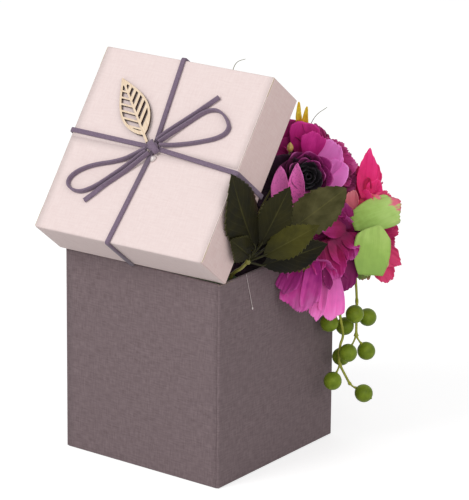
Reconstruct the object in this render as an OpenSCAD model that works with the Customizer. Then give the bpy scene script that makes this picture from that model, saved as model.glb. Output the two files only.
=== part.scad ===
// Flower box: a covered board box of artificial flowers in floral foam.
// Its lift-off lid stands open on its front rim and on two picks in the foam.
// Frame: millimetres, +Z up, origin at the centre of the box's foot, front wall towards -Y.

/* [Box] */
// Outside width and depth of the box
box_side = 130; // [110:1:160]
// Outside height of the box
box_height = 143; // [115:1:180]
// Thickness of the box's board
box_board = 2; // [1.5:0.1:3]

/* [Lid] */
// Outside depth of the lid
lid_depth = 36; // [28:1:45]
// Thickness of the lid's board
lid_board = 1; // [0.8:0.1:2]
// Room between the closed lid and the box on each side
lid_clearance = 0.2; // [0.1:0.1:1]
// Angle between the open lid and the level
lid_tilt = 51.5; // [48:0.5:56]
// Turn of the open lid about the vertical
lid_yaw = 3; // [0:0.5:4]

/* [Covering] */
// Thickness of the covering sheet
wrap = 0.2; // [0.15:0.05:0.3]
// Thickness of the lining paper
liner = 0.15; // [0.1:0.05:0.3]
// Thickness of the corner tape
stay = 0.15; // [0.1:0.05:0.25]
// Width of the corner tape on each wall
stay_w = 14; // [8:1:20]
// How far a side sheet turns round a corner
tab = 15; // [10:1:20]
// How far the face sheets stop short of the upright edges
seam_inset = 2; // [1:0.5:4]
// How far the covering turns in over the rim
turn_in = 14; // [8:1:20]
// How far the covering turns in under the bottom
foot_turn = 12; // [8:1:20]
// Rounding of the covered upright edges
edge_round = 1.2; // [0.5:0.1:1.2]

/* [Foam and picks] */
// How far the foam stays below the rim
foam_below = 23; // [15:1:35]
// Room between the foam and the lining
foam_gap = 3; // [1:0.5:3.5]
// How deep stems are pushed into the foam
stem_depth = 35; // [25:1:45]
// Diameter of the wooden picks
pick_d = 3; // [2:0.5:4]
// Length of the picks
pick_len = 144; // [130:1:150]
// Distance between the two picks
pick_apart = 36; // [24:1:50]
// Distance of the picks from the lid's front edge
pick_up = 30; // [24:1:34]
// Clearance round a pick in the foam
pick_clearance = 0.08; // [0.04:0.01:0.1]

/* [Cord and bow] */
// Width of the flat cord
cord_w = 3.2; // [2.6:0.1:4]
// Thickness of the flat cord
cord_t = 1.6; // [1.2:0.1:2]
// Height of the knot over the lid
knot_h = 6.5; // [6:0.1:7]
// Diameter of the knot
knot_d = 11; // [10:0.5:12]

/* [Wooden leaf] */
// Length of the leaf's blade
wood_len = 51; // [40:1:58]
// Width of the leaf's blade
wood_w = 21; // [16:1:26]
// Thickness of the veneer
wood_t = 1.6; // [1.2:0.1:2.5]
// Pitch of its side veins
vein_pitch = 6.6; // [5:0.1:9]

/* [Flowers] */
// Thickness of a petal layer
petal = 0.6; // [0.5:0.05:0.8]
// Thickness of a green leaf
leaf_t = 0.7; // [0.5:0.1:1]
// Diameter of a flower's stem
stem_d = 3; // [2:0.5:3.5]
// Diameter of a berry
berry_d = 12.4; // [10:0.2:12.8]
// Diameter of a berry stalk
stalk_d = 1.8; // [1.4:0.1:2.2]

/* [Hidden] */

joined = 0.01;               // how far two runs of one cord reach into each other
foot = wrap;                 // foot sheet under the box's turned-in covering
rest_gap = 0.3;              // between the lid's front edge and the box's rim
layers = 4 * wrap + stay + liner;    // covering, tape and lining on a wall that faces front
lid_side = box_side + 2 * (lid_clearance + lid_board + layers);
foam_side = box_side - 2 * (box_board + layers) - 2 * foam_gap;
liner_short = 3;             // the lining stops this far below a rim
petal_gap = 0.12;            // between two layers of petals on a stem
bow_up = 2.7;                // the knot lies this far up from the middle of the lid

// ---------------------------------------------------------------- covered carton
// One carton opens upwards from z = 0: side, depth, board and the foot sheet under it.
function board_z(foot_t) = foot_t + 2 * wrap;
function board_x(side) = side / 2 - wrap - stay;          // outer face of a side board
function board_y(side) = side / 2 - 2 * wrap - stay;      // outer face of a front board
tape_round = edge_round - wrap;           // rounding of the tape's outer face
board_round = edge_round - wrap - stay;   // and of the boards at an upright edge

module block(x, y, z0, z1) {
    translate([-x, -y, z0]) cube([2 * x, 2 * y, z1 - z0]);
}

module round_block(x, y, r, z0, z1) {
    translate([0, 0, z0]) linear_extrude(height = z1 - z0) union() {
        square([2 * (x - r), 2 * y], center = true);
        square([2 * x, 2 * (y - r)], center = true);
        for (sx = [-1, 1], sy = [-1, 1]) translate([sx * (x - r), sy * (y - r)]) circle(r = r, $fn = 32);
    }
}

module bottom_board(side, board, foot_t) {
    round_block(board_x(side), board_y(side), board_round, board_z(foot_t), board_z(foot_t) + board);
}

// end = -1 is the front board, 1 is the back board
module face_board(side, depth, board, foot_t, end) {
    y = board_y(side);
    z = board_z(foot_t) + board;
    intersection() {
        translate([-board_x(side), end > 0 ? y - board : -y, z])
            cube([2 * board_x(side), board, depth - 2 * wrap - z]);
        round_block(board_x(side), y, board_round, z, depth);
    }
}

// end = -1 is the left board, 1 is the right board
module side_board(side, depth, board, foot_t, end) {
    x = board_x(side);
    y = board_y(side) - board;
    z = board_z(foot_t) + board;
    translate([end > 0 ? x - board : -x, -y, z]) cube([board, 2 * y, depth - 2 * wrap - z]);
}

module corner_stays(side, depth, foot_t) {
    x = board_x(side);
    y = board_y(side);
    z0 = board_z(foot_t);
    z1 = depth - 2 * wrap;
    difference() {
        round_block(x + stay, y + stay, tape_round, z0, z1);
        round_block(x, y, board_round, z0 - 1, z1 + 1);
        block(x - stay_w, side, z0 - 1, z1 + 1);
        block(side, y - stay_w, z0 - 1, z1 + 1);
    }
}

// Left and right sheets with the tabs that turn round the corners
module side_sheets(side, depth, board, foot_t) {
    x = side / 2;
    y = side / 2 - wrap;
    z0 = foot_t + wrap;
    z1 = depth - wrap;
    x_in = board_x(side) - board;
    y_in = board_y(side) - board;
    difference() {
        round_block(x, y, edge_round, z0, z1);
        round_block(x - wrap, y - wrap, tape_round, z0 + wrap, z1 - wrap);
        block(x_in - wrap, y_in - wrap, z0 + foot_t + wrap, z1 + 1);
        block(x_in, y_in, z0 + wrap, z1 - turn_in);
        block(x - foot_turn, y - foot_turn, z0 - 1, z1);
        block(x - tab, side, z0 - 1, z1 + 1);
    }
}

// Front and back sheets, pasted over the tabs; a closed sheet also covers the bottom
module face_sheets(side, depth, board, foot_t, closed) {
    x = side / 2 - seam_inset;
    y = side / 2;
    z0 = foot_t;
    y_in = board_y(side) - board - wrap;
    difference() {
        block(x, y, z0, depth);
        block(side, y - wrap, z0 + wrap, depth - wrap);
        block(side, y_in - wrap, z0 + wrap, depth + 1);
        if (!closed) block(side, y - foot_turn, z0 - 1, depth);
    }
    // the turned-in edge lies on the inside of the wall, between the side walls
    x_in = board_x(side) - board - wrap;
    for (end = [-1, 1]) translate([-x_in, end > 0 ? y_in - wrap : -y_in, depth - turn_in])
        cube([2 * x_in, wrap, turn_in - wrap]);
}

module lining(side, depth, board, foot_t) {
    x = board_x(side) - board - wrap;
    y = board_y(side) - board - 2 * wrap;
    z = board_z(foot_t) + board;
    difference() {
        block(x, y, z, depth - liner_short);
        block(x - liner, y - liner, z + liner, depth);
    }
}

// ---------------------------------------------------------------- places
module on_rim() { translate([box_side / 2, 0, box_height]) children(); }   // middle of the right rim

module on_lid() {      // x along the front edge, y up the lid, z from its rim to its top
    translate([0, -box_side / 2, box_height + rest_gap]) rotate([0, 0, lid_yaw])
        rotate([lid_tilt, 0, 0]) children();
}

// the lid's carton hangs upside down from its top
module lid_carton() { on_lid() translate([0, lid_side / 2, lid_depth]) mirror([0, 0, 1]) children(); }

module on_knot() { on_lid() translate([0, lid_side / 2 + bow_up, lid_depth]) children(); }

// turns +Z to a direction and moves the origin to a place
module facing(place, dir) {
    translate(place) rotate([0, acos(dir[2] / norm(dir)), atan2(dir[1], dir[0])]) children();
}

// ---------------------------------------------------------------- swept stems and cords
function unit(v) = v / norm(v);
function at(p, i) = p[max(0, min(len(p) - 1, i))];
// a smooth curve through hand-picked points, n pieces to a stretch
function smooth(p, n) = [for (i = [0 : len(p) - 2], k = [0 : n - 1]) bend(at(p, i - 1), p[i], p[i + 1],
    at(p, i + 2), k / n), p[len(p) - 1]];
function bend(a, b, c, d, t) = b + t / 2 * (c - a) + t * t / 2 * (2 * a - 5 * b + 4 * c - d)
    + t * t * t / 2 * (3 * b - a - 3 * c + d);

function heading(p, i) = unit(at(p, i + 1) - at(p, i - 1));
function cross_axis(p, i, up) = unit(cross(heading(p, i), up));
function ring(p, i, section, up) = let (s = cross_axis(p, i, up), u = cross(s, heading(p, i)))
    [for (q = section) p[i] + q[0] * s + q[1] * u];

function round_section(d) = [for (k = [0 : 7]) d / 2 * [cos(45 * k), sin(45 * k)]];
function flat_section(w, t) = let (c = 0.25 * min(w, t)) [[w / 2, -t / 2 + c], [w / 2, t / 2 - c],
    [w / 2 - c, t / 2], [-w / 2 + c, t / 2], [-w / 2, t / 2 - c], [-w / 2, -t / 2 + c],
    [-w / 2 + c, -t / 2], [w / 2 - c, -t / 2]];

module sweep(p, section, up) {
    n = len(section);
    last = len(p) - 1;
    polyhedron(
        points = [for (i = [0 : last]) each ring(p, i, section, up)],
        faces = concat(
            [[for (k = [n - 1 : -1 : 0]) k]],
            [for (i = [0 : last - 1], k = [0 : n - 1])
                [i * n + k, i * n + (k + 1) % n, (i + 1) * n + (k + 1) % n, (i + 1) * n + k]],
            [[for (k = [0 : n - 1]) last * n + k]]),
        convexity = 6);
}

// the first stretch is straight, because it is pushed into the foam
function stuck(p, n) = concat([p[0]], smooth([for (i = [1 : len(p) - 1]) p[i]], n));
module wire(p, d, n = 3) { sweep(stuck(p, n), round_section(d), [0, 1, 0]); }

// ---------------------------------------------------------------- flower stems
foam_in = -foam_below - stem_depth;      // lower end of a stem, from the rim
foam_out = -foam_below + 3;              // where a stem starts to bend, from the rim

// each bloom: base of its petals, the way it faces, where its stem enters the foam, bends between
ranunculus = [[0, 32, 54], [0.6, -0.76, 0.24], [-22, 34], [[-18, 38, 10], [-12, 44, 36]]];
upper_bloom = [[-19, 54, 66], [0.25, -0.45, 0.86], [-36, 40], [[-32, 46, 10], [-26, 56, 36]]];
carnation = [[-7, 75, 53], [0.6, -0.5, 0.62], [-18, 48], [[-16, 52, 0], [-15, 72, 24]]];
pink_bloom = [[17, 80, 38], [0.1, 0.55, 0.83], [-12, 43], [[-11, 47, 4], [-3, 57, 17], [8, 67, 24]]];
green_bloom = [[22, 63, 10], [0.45, 0.87, -0.2], [-12, 22], [[-9, 32, 4], [2, 44, 11]]];
middle_bloom = [[19, 37, 19], [0.75, -0.55, -0.1], [-26, 20], [[-18, 30, 8], [-4, 42, 20]]];
low_bloom = [[15, 9, -6], [0.77, -0.2, -0.6], [-12, 4], [[-10, 8, 1], [-4, 11, 5]]];
blooms = [ranunculus, upper_bloom, carnation, pink_bloom, green_bloom, middle_bloom, low_bloom];

calyx_h = 6;
// a bloom's stem runs straight down into the foam and meets the flower square to its petals
function stem_route(b) = let (in = b[2], base = b[0], dir = unit(b[1])) concat(
    [[in[0], in[1], foam_in], [in[0], in[1], foam_out]], b[3],
    [base - (calyx_h + 8) * dir, base - (calyx_h + 0.05) * dir]);

module stem(b) {
    color("olivedrab") on_rim() {
        wire(stem_route(b), stem_d);
        facing(b[0], b[1]) translate([0, 0, -calyx_h])
            cylinder(h = calyx_h - 0.05, r1 = stem_d / 2 + 0.3, r2 = stem_d / 2 + 3, $fn = 40);
    }
}

// ---------------------------------------------------------------- petals
// outline of one die-cut layer with plain round petals
module round_petals(r, count) {
    circle(r = 0.5 * r, $fn = 48);
    for (k = [0 : count - 1]) rotate(360 / count * k) translate([0.58 * r, 0]) circle(r = 0.42 * r, $fn = 48);
}

// outline of one die-cut layer with pinked petals: lobes by a formula, a tooth at every second point
function pinked_r(r, lobes, a, odd) = r * (1 - 0.28 * pow(abs(cos(lobes * a / 2)), 5)) - odd * 1.3;
module pinked_petals(r, lobes, teeth = 8) {
    n = 2 * lobes * teeth;
    polygon([for (k = [0 : n - 1]) let (a = 360 * k / n) pinked_r(r, lobes, a, k % 2) * [cos(a), sin(a)]]);
}

// a die-cut layer pressed to a bowl; the outline is the child, the bowl's foot is at z = 0
module pressed(bowl_r) {
    intersection() {
        translate([0, 0, bowl_r]) difference() {
            sphere(r = bowl_r, $fn = 80);
            sphere(r = bowl_r - petal, $fn = 80);
        }
        linear_extrude(height = bowl_r) children();
    }
}

// layers of one bloom: each has the bowl's radius, the cut radius, the number of petals
module bloom(b, rows, pinked) {
    on_rim() facing(b[0], b[1]) for (i = [0 : len(rows) - 1]) let (row = rows[i])
        translate([0, 0, i * (petal + petal_gap)]) rotate(i * 180 / row[2] + 11 * i) pressed(row[0])
            if (pinked) pinked_petals(row[1], row[2]); else round_petals(row[1], row[2]);
}

heart_r = 8.5;
ranunculus_rows = [[30, 26, 5], [24, 22, 5], [18.5, 17, 5], [14, 12.6, 5]];

// nested rolled cups, each open at the top
module rolled_heart() {
    base = len(ranunculus_rows) * (petal + petal_gap);
    for (i = [0 : 2]) let (r = heart_r - 2.6 * i) translate([0, 0, base + r + i * (petal + petal_gap)])
        difference() {
            sphere(r = r, $fn = 48);
            sphere(r = r - petal, $fn = 48);
            translate([0, 0, 0.62 * r]) cylinder(h = r, r = r, $fn = 48);
        }
}

// ---------------------------------------------------------------- leaves
// half width of a leaf, t from its base to its tip; the widest point is two fifths up
function leaf_half(t) = sin(180 * pow(t, 0.78));

module leaf_outline(length, width, teeth) {
    n = 2 * teeth;
    side = [for (k = [1 : n - 1]) let (t = k / n) [width / 2 * leaf_half(t) - (k % 2) * 0.6, t * length]];
    polygon(concat([[0, 0]], side, [[0, length]],
        [for (k = [n - 2 : -1 : 0]) [-side[k][0], side[k][1]]]));
}

leaf_curl = 34;          // radius to which a blade curls across its width
// a blade from its base to its tip, its upper face turned to a direction
module leaf_blade(base, tip, face, width) {
    length = norm(tip - base);
    v = (tip - base) / length;
    w = unit(face - (face * v) * v);
    u = cross(v, w);
    multmatrix([[u[0], v[0], w[0], base[0]], [u[1], v[1], w[1], base[1]], [u[2], v[2], w[2], base[2]],
            [0, 0, 0, 1]])
        intersection() {
            translate([0, 0, -leaf_curl]) rotate([-90, 0, 0]) difference() {
                cylinder(h = length, r = leaf_curl + leaf_t, $fn = 96);
                translate([0, 0, -1]) cylinder(h = length + 2, r = leaf_curl, $fn = 96);
            }
            translate([0, 0, -width / 2]) linear_extrude(height = width) leaf_outline(length, width, 9);
        }
}

// each leaf: base, tip, the way it faces, width; from the middle of the right rim
leaves = [
    [[7, -39, 20], [7, -63, 77], [1, 0, 0], 30],
    [[7, -42, 16], [6, -62, 32], [1, -0.2, 0], 17],
    [[9, -33, 21], [17, -12, 58], [0.7, -0.6, 0.2], 22],
    [[14, -27, 22], [37, 24, 52], [0.5, -0.7, 0.5], 26],
    [[13, -33, 14], [34, -3, 34], [0.5, -0.5, 0.7], 18],
    [[11, -32, 6], [35, 6, 18], [0.4, -0.6, -0.6], 22]];
spray_d = 2.4;
spray_route = [[-14, -38, foam_in], [-14, -38, foam_out], [-9, -41, -3], [-4, -43, 3], [0, -42, 6], [4, -40, 11]];

// ---------------------------------------------------------------- berries
stalk_a = [[-24, 51, foam_in], [-24, 51, foam_out], [-14, 56, 3], [-2, 60, 8], [11, 62, 4], [18, 62, -10],
    [20, 62, -28], [19, 65, -43], [19, 65, -59], [19, 65, -67]];
stalk_b = [[-12, 33, foam_in], [-12, 33, foam_out], [-9, 36, 1], [-1, 42, 6], [8, 47, 2], [14, 50, -14],
    [15, 52, -34], [15, 51, -48], [15, 55, -64], [15, 52, -71], [15, 51, -80], [15, 52, -85],
    [16, 60, -98], [16, 63, -102]];
// each berry: its centre and the point on a stalk that carries it
berry_places = [
    [[23, 57, -48], [19, 65, -42]], [[19, 78, -57], [19, 65, -49]], [[11, 63, -61], [19, 65, -54]],
    [[10, 46, -54], [15, 51, -46]], [[24, 70, -78], [19, 65, -67]], [[23, 50, -74], [19, 65, -67]],
    [[11, 59, -82], [15, 51, -76]], [[17, 41, -93], [15, 52, -85]], [[26, 65, -107], [16, 63, -102]]];

module pedicel(b) {
    reach = norm(b[0] - b[1]) - berry_d / 2 - 0.05;
    facing(b[1], b[0] - b[1]) cylinder(h = reach, d = stalk_d, $fn = 8);
}

// ---------------------------------------------------------------- modules, one for each node
module base_foot_sheet() {
    color("#5f5453") block(box_side / 2 - 3, box_side / 2 - 3, 0, foot);
}
module base_bottom_board() { color("#b5aa98") bottom_board(box_side, box_board, foot); }
module base_front_board() { color("#b5aa98") face_board(box_side, box_height, box_board, foot, -1); }
module base_back_board() { color("#b5aa98") face_board(box_side, box_height, box_board, foot, 1); }
module base_left_board() { color("#b5aa98") side_board(box_side, box_height, box_board, foot, -1); }
module base_right_board() { color("#b5aa98") side_board(box_side, box_height, box_board, foot, 1); }
module base_corner_stays() { color("#cbb98f") corner_stays(box_side, box_height, foot); }
module base_wrap_sides() { color("#6b5a5d") side_sheets(box_side, box_height, box_board, foot); }
module base_wrap_faces() { color("#7f6c70") face_sheets(box_side, box_height, box_board, foot, false); }
module base_liner() { color("#2a2426") lining(box_side, box_height, box_board, foot); }

module foam_block() {
    z = board_z(foot) + box_board + liner;
    entries = concat([for (b = blooms) [b[2][0], b[2][1], stem_d]],
        [[spray_route[0][0], spray_route[0][1], spray_d]],
        [for (s = [stalk_a, stalk_b]) [s[0][0], s[0][1], stalk_d]],
        [for (s = wisps) [s[0][0], s[0][1], wisp_d]], [for (s = blades) [s[0][0], s[0][1], blade_w]],
        [[bud_route[0][0], bud_route[0][1], 1.4]]);
    color("#4f6b3c") difference() {
        block(foam_side / 2, foam_side / 2, z, box_height - foam_below);
        on_rim() for (e = entries) translate([e[0], e[1], foam_in])
            cylinder(h = stem_depth + 1, d = e[2] + 0.1, $fn = 32);
        on_lid() picks(pick_d / 2 + pick_clearance, 1);
    }
}

module ranunculus_petals() { color("#e06fb4") bloom(ranunculus, ranunculus_rows, false); }
module ranunculus_heart() { color("#241420") on_rim() facing(ranunculus[0], ranunculus[1]) rolled_heart(); }
module ranunculus_stem() { stem(ranunculus); }
module upper_bloom_petals() {
    color("#b52f7c") bloom(upper_bloom, [[24, 20, 5], [18, 16.5, 5], [13, 12, 5]], false);
}
module upper_bloom_stem() { stem(upper_bloom); }
module carnation_petals() {
    color("#8e1d4f") bloom(carnation, [[26, 19, 6], [20, 16.5, 6], [15, 13.5, 5], [11, 10, 5]], true);
}
module carnation_stem() { stem(carnation); }
module pink_bloom_petals() { color("#d02f77") bloom(pink_bloom, [[13.5, 12.6, 5], [10.5, 9.6, 5], [8, 7, 4]], true); }
module pink_bloom_stem() { stem(pink_bloom); }
module green_bloom_petals() {
    color("#9abf62") bloom(green_bloom, [[34, 25, 5], [26, 21, 5], [19, 16, 5]], true);
}
module green_bloom_stem() { stem(green_bloom); }
module middle_bloom_petals() {
    color("#7a1c44") bloom(middle_bloom, [[28, 21, 6], [20, 18, 5], [14, 13, 5]], true);
}
module middle_bloom_stem() { stem(middle_bloom); }
module low_bloom_petals() { color("#c23c8e") bloom(low_bloom, [[34, 24, 5], [25, 20, 5], [17, 15, 5]], false); }
module low_bloom_stem() { stem(low_bloom); }

module leaf_spray_leaves() {
    color("#3d3a28") on_rim() for (l = leaves) leaf_blade(l[0], l[1], l[2], l[3]);
}
// the stem and a short stalk to each leaf; a resize to nothing fuses them into one solid
module leaf_spray_stem() {
    tip = spray_route[len(spray_route) - 1];
    color("#8b7d3a") on_rim() resize([0, 0, 0]) union() {
        wire(spray_route, spray_d);
        for (l = leaves) facing(tip, l[0] - tip) cylinder(h = norm(l[0] - tip) - 0.8, d = 1.4, $fn = 8);
    }
}

module berry_stalks() {
    color("#a7a73a") on_rim() resize([0, 0, 0]) union() {
        wire(stalk_a, stalk_d);
        wire(stalk_b, stalk_d);
        for (b = berry_places) pedicel(b);
    }
}
module berries() {
    color("#7d9430") on_rim() for (b = berry_places) translate(b[0]) sphere(d = berry_d, $fn = 48);
}

wisp_d = 0.8;
blade_w = 4;
wisps = [[[-60, -20, foam_in], [-60, -20, foam_out], [-61, 10, 50], [-66, 30, 96], [-62, 42, 120]],
    [[-40, 26, foam_in], [-40, 26, foam_out], [-34, 31, 30], [-12, 31, 76], [1, 51, 95]]];
blades = [[[-42, 14, foam_in], [-42, 14, foam_out], [-36, 18, 30], [-22, 25, 70], [-7, 30, 102]],
    [[-47, 28, foam_in], [-47, 28, foam_out], [-42, 33, 30], [-25, 33, 72], [-8, 38, 98]]];
bud_route = [[-30, 6, foam_in], [-30, 6, foam_out], [-26, 9, 20], [-16, 20, 50], [-12, 28, 67]];

module grass_wisps() { color("#4b4a22") on_rim() for (s = wisps) wire(s, wisp_d, 2); }
module yellow_blades() {
    color("#caa021") on_rim() for (s = blades) sweep(stuck(s, 3), flat_section(blade_w, 1), [0.6, -0.7, 0.3]);
}
module flower_bud() {
    tip = bud_route[len(bud_route) - 1];
    color("#b9b04a") on_rim() {
        wire(bud_route, 1.4);
        translate(tip + [0, 0, 3.3]) sphere(d = 6, $fn = 32);
    }
}

module lid_top_board() { color("#c9c0b2") lid_carton() bottom_board(lid_side, lid_board, 0); }
module lid_front_board() { color("#c9c0b2") lid_carton() face_board(lid_side, lid_depth, lid_board, 0, -1); }
module lid_back_board() { color("#c9c0b2") lid_carton() face_board(lid_side, lid_depth, lid_board, 0, 1); }
module lid_left_board() { color("#c9c0b2") lid_carton() side_board(lid_side, lid_depth, lid_board, 0, -1); }
module lid_right_board() { color("#c9c0b2") lid_carton() side_board(lid_side, lid_depth, lid_board, 0, 1); }
module lid_corner_stays() { color("#cbb98f") lid_carton() corner_stays(lid_side, lid_depth, 0); }
module lid_wrap_sides() { color("#ceb9b6") lid_carton() side_sheets(lid_side, lid_depth, lid_board, 0); }
module lid_wrap_cover() { color("#e6d8d5") lid_carton() face_sheets(lid_side, lid_depth, lid_board, 0, true); }
module lid_liner() { color("#efe9e4") lid_carton() lining(lid_side, lid_depth, lid_board, 0); }

// the cord's two runs over the lid, from the knot to the edges
across_left = 1.3;       // rise of the run at the left edge, above the knot
across_right = -6;       // and at the right edge
along_back = -4.6;       // sideways shift of the other run at the back edge
along_front = -7;        // and at the front edge
air = 0.05;              // between the cord and what it lies on
cord_in = 12;            // length of cord glued inside the rim

// one run: flat on the lid from one point to another at the edge, then down the wall that faces turn;
// a tucked end goes round the rim and up inside, a plain end is cut level with the rim
module cord_run(from, to, turn, tucked = true) {
    reach = to - from;
    drop = lid_depth - (tucked ? 0 : rest_gap);
    inner = -lid_board - layers - 4 * air;
    translate([from[0], from[1], air]) rotate(atan2(reach[1], reach[0]))
        translate([0, -cord_w / 2, 0]) cube([norm(reach) + air, cord_w, cord_t]);
    translate([to[0], to[1], 0]) rotate(turn) translate([0, -cord_w / 2, 0]) {
        translate([air, 0, -drop]) cube([cord_t, cord_w, drop + air + cord_t]);
        if (tucked) {
            translate([inner - cord_t, 0, -drop - air - cord_t])
                cube([2 * cord_t + air - inner, cord_w, cord_t]);
            translate([air, 0, -drop - air]) cube([cord_t, cord_w, 2 * air]);
            translate([inner - cord_t, 0, -drop - air]) cube([cord_t, cord_w, cord_in]);
        }
    }
}

module cord_run_across() {
    color("#7b6876") on_knot() {
        cord_run([joined, 0], [-lid_side / 2, across_left], 180);
        cord_run([0, 0], [lid_side / 2, across_right], 0);
    }
}
module cord_run_along() {
    back = lid_side / 2 - bow_up;
    front = lid_side / 2 + bow_up;
    start = cord_w / 2 + 0.6;
    color("#7b6876") on_knot() {
        cord_run([along_back * start / back, start], [along_back, back], 90);
        cord_run([along_front * start / front, -start], [along_front, -front], -90, false);
    }
}

knot_z = cord_t + 2 * air;      // the knot sits on the crossing
module bow_knot() {
    color("#74647a") on_knot() intersection() {
        translate([0, 0, knot_z]) cylinder(h = knot_h - knot_z, d = knot_d, $fn = 48);
        translate([0, 0, knot_h - knot_d * 0.75]) sphere(r = knot_d * 0.75, $fn = 64);
    }
}

// loops and tails stand on edge: x, y and height of the cord's middle, from the knot
edge_low = 1.7;
loop_right = [[3.2, 3.7, 3.5], [8, 9.6, 3], [13.5, 16.2, 2.2], [19.5, 23, edge_low], [25, 28.8, edge_low],
    [30, 32.3, edge_low], [36, 33.6, edge_low], [42, 31.6, edge_low], [47, 27.5, edge_low],
    [49.6, 22.8, edge_low], [47.6, 18, edge_low], [42, 14, edge_low], [35, 11, edge_low],
    [28, 8.4, edge_low], [21, 6.1, 2], [14, 4, 2.6], [8, 2.6, 3.3], [4.6, 2, 3.5]];
loop_left = [[-4.4, -2.4, 3.5], [-10, -6.6, 3], [-17.5, -11.6, 2.2], [-26, -15.4, edge_low],
    [-35, -18.6, edge_low], [-43, -22.2, edge_low], [-49.5, -26.8, edge_low], [-53.4, -32, edge_low],
    [-53, -37, edge_low], [-48.5, -40, edge_low], [-42, -40.2, edge_low], [-36, -37.4, edge_low],
    [-30, -32.6, edge_low], [-24, -26.2, edge_low], [-18, -19.6, edge_low], [-12, -13, 2.2],
    [-7, -7.4, 3], [-3.6, -4.4, 3.5]];
tail_right = [[1, 4.7, 3.5], [5.6, 11.4, 3], [11.2, 18.2, 2.2], [17.2, 25, edge_low], [22.8, 31, edge_low],
    [28.2, 37, edge_low], [33.5, 43, edge_low]];
tail_left = [[-1, -4.8, 3.5], [-4.8, -9.8, 3.5], [-9.7, -15.3, 2.6], [-15.7, -21.8, edge_low],
    [-21.8, -28.4, edge_low], [-27.8, -35, edge_low], [-33.2, -41.2, edge_low], [-38.4, -47.2, edge_low]];

module standing_cord(p) { color("#7b6876") on_knot() sweep(p, flat_section(cord_t, cord_w), [0, 0, 1]); }
module bow_loop_left() { standing_cord(loop_left); }
module bow_loop_right() { standing_cord(loop_right); }
module bow_tail_left() { standing_cord(tail_left); }
module bow_tail_right() { standing_cord(tail_right); }

wood_at = [-5.7, 2.2];   // lower end of the leaf's stem, from the knot
wood_turn = 43.4;        // turn of the leaf from straight up the lid
wood_stem = 6;
wood_stem_w = 1.8;
wood_rim = 1.5;          // width of the leaf's margin
midrib = 1.5;

// the blade without its margin
module wood_field() {
    shrink = 1 - 2 * wood_rim / wood_w;
    translate([0, (1 - shrink) * wood_len / 2]) scale([shrink, shrink]) wood_blade();
}
module wood_blade() {
    n = 18;
    side = [for (k = [1 : n - 1]) [wood_w / 2 * leaf_half(k / n), k / n * wood_len]];
    polygon(concat([[0, 0]], side, [[0, wood_len]], [for (k = [n - 2 : -1 : 0]) [-side[k][0], side[k][1]]]));
}
// slanted windows on one side of the midrib; open is the share of the pitch that is cut away
module wood_windows(side, open) {
    rise = wood_w / 2;
    for (k = [0 : floor(wood_len / vein_pitch)]) let (y = k * vein_pitch)
        polygon([[side * midrib / 2, y], [side * wood_w / 2, y + rise],
            [side * wood_w / 2, y + rise + open * vein_pitch], [side * midrib / 2, y + open * vein_pitch]]);
}

module wood_leaf() {
    lift = knot_z + 0.05;                     // its foot lies on the cord
    droop = atan((lift - 0.1) / (wood_stem + wood_len));
    color("#d9bfa2") on_knot() translate([wood_at[0], wood_at[1], lift]) rotate(wood_turn)
        rotate([-droop, 0, 0]) linear_extrude(height = wood_t) union() {
            translate([-wood_stem_w / 2, 0]) square([wood_stem_w, wood_stem + 1]);
            translate([0, wood_stem]) difference() {
                wood_blade();
                intersection() { wood_field(); wood_windows(1, 0.5); }
                intersection() { wood_field(); wood_windows(-1, 0.72); }
            }
        }
}

// the inner face of the lid's top, from its rim
inner_top = lid_depth - 2 * wrap - lid_board - liner;
module picks(r, extra) {
    for (end = [-1, 1]) translate([end * pick_apart / 2, pick_up, inner_top - pick_len - extra])
        cylinder(h = pick_len + extra - 0.02, r = r, $fn = 32);
}
module lid_picks() { color("#d8bd8a") on_lid() picks(pick_d / 2, 0); }

glue_r = 6;
module pick_glue() {
    color("#e8e4d8") on_lid() difference() {
        for (end = [-1, 1]) translate([end * pick_apart / 2, pick_up, inner_top]) intersection() {
            translate([0, 0, 3]) sphere(r = glue_r + 1, $fn = 48);
            translate([0, 0, -glue_r]) cylinder(h = glue_r - 0.05, r = glue_r, $fn = 48);
        }
        picks(pick_d / 2 + 0.02, 0);
    }
}

base_foot_sheet();
base_bottom_board();
base_front_board();
base_back_board();
base_left_board();
base_right_board();
base_corner_stays();
base_wrap_sides();
base_wrap_faces();
base_liner();
foam_block();
ranunculus_petals();
ranunculus_heart();
ranunculus_stem();
upper_bloom_petals();
upper_bloom_stem();
carnation_petals();
carnation_stem();
pink_bloom_petals();
pink_bloom_stem();
green_bloom_petals();
green_bloom_stem();
middle_bloom_petals();
middle_bloom_stem();
low_bloom_petals();
low_bloom_stem();
leaf_spray_leaves();
leaf_spray_stem();
berry_stalks();
berries();
grass_wisps();
yellow_blades();
flower_bud();
lid_top_board();
lid_front_board();
lid_back_board();
lid_left_board();
lid_right_board();
lid_corner_stays();
lid_wrap_sides();
lid_wrap_cover();
lid_liner();
cord_run_across();
cord_run_along();
bow_knot();
bow_loop_left();
bow_loop_right();
bow_tail_left();
bow_tail_right();
wood_leaf();
lid_picks();
pick_glue();
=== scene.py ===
# Flower box: a covered board box of artificial flowers, its lid propped open and tied with a bow.
import math
import random

import bpy
import numpy as np
from mathutils import Matrix, Vector


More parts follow.
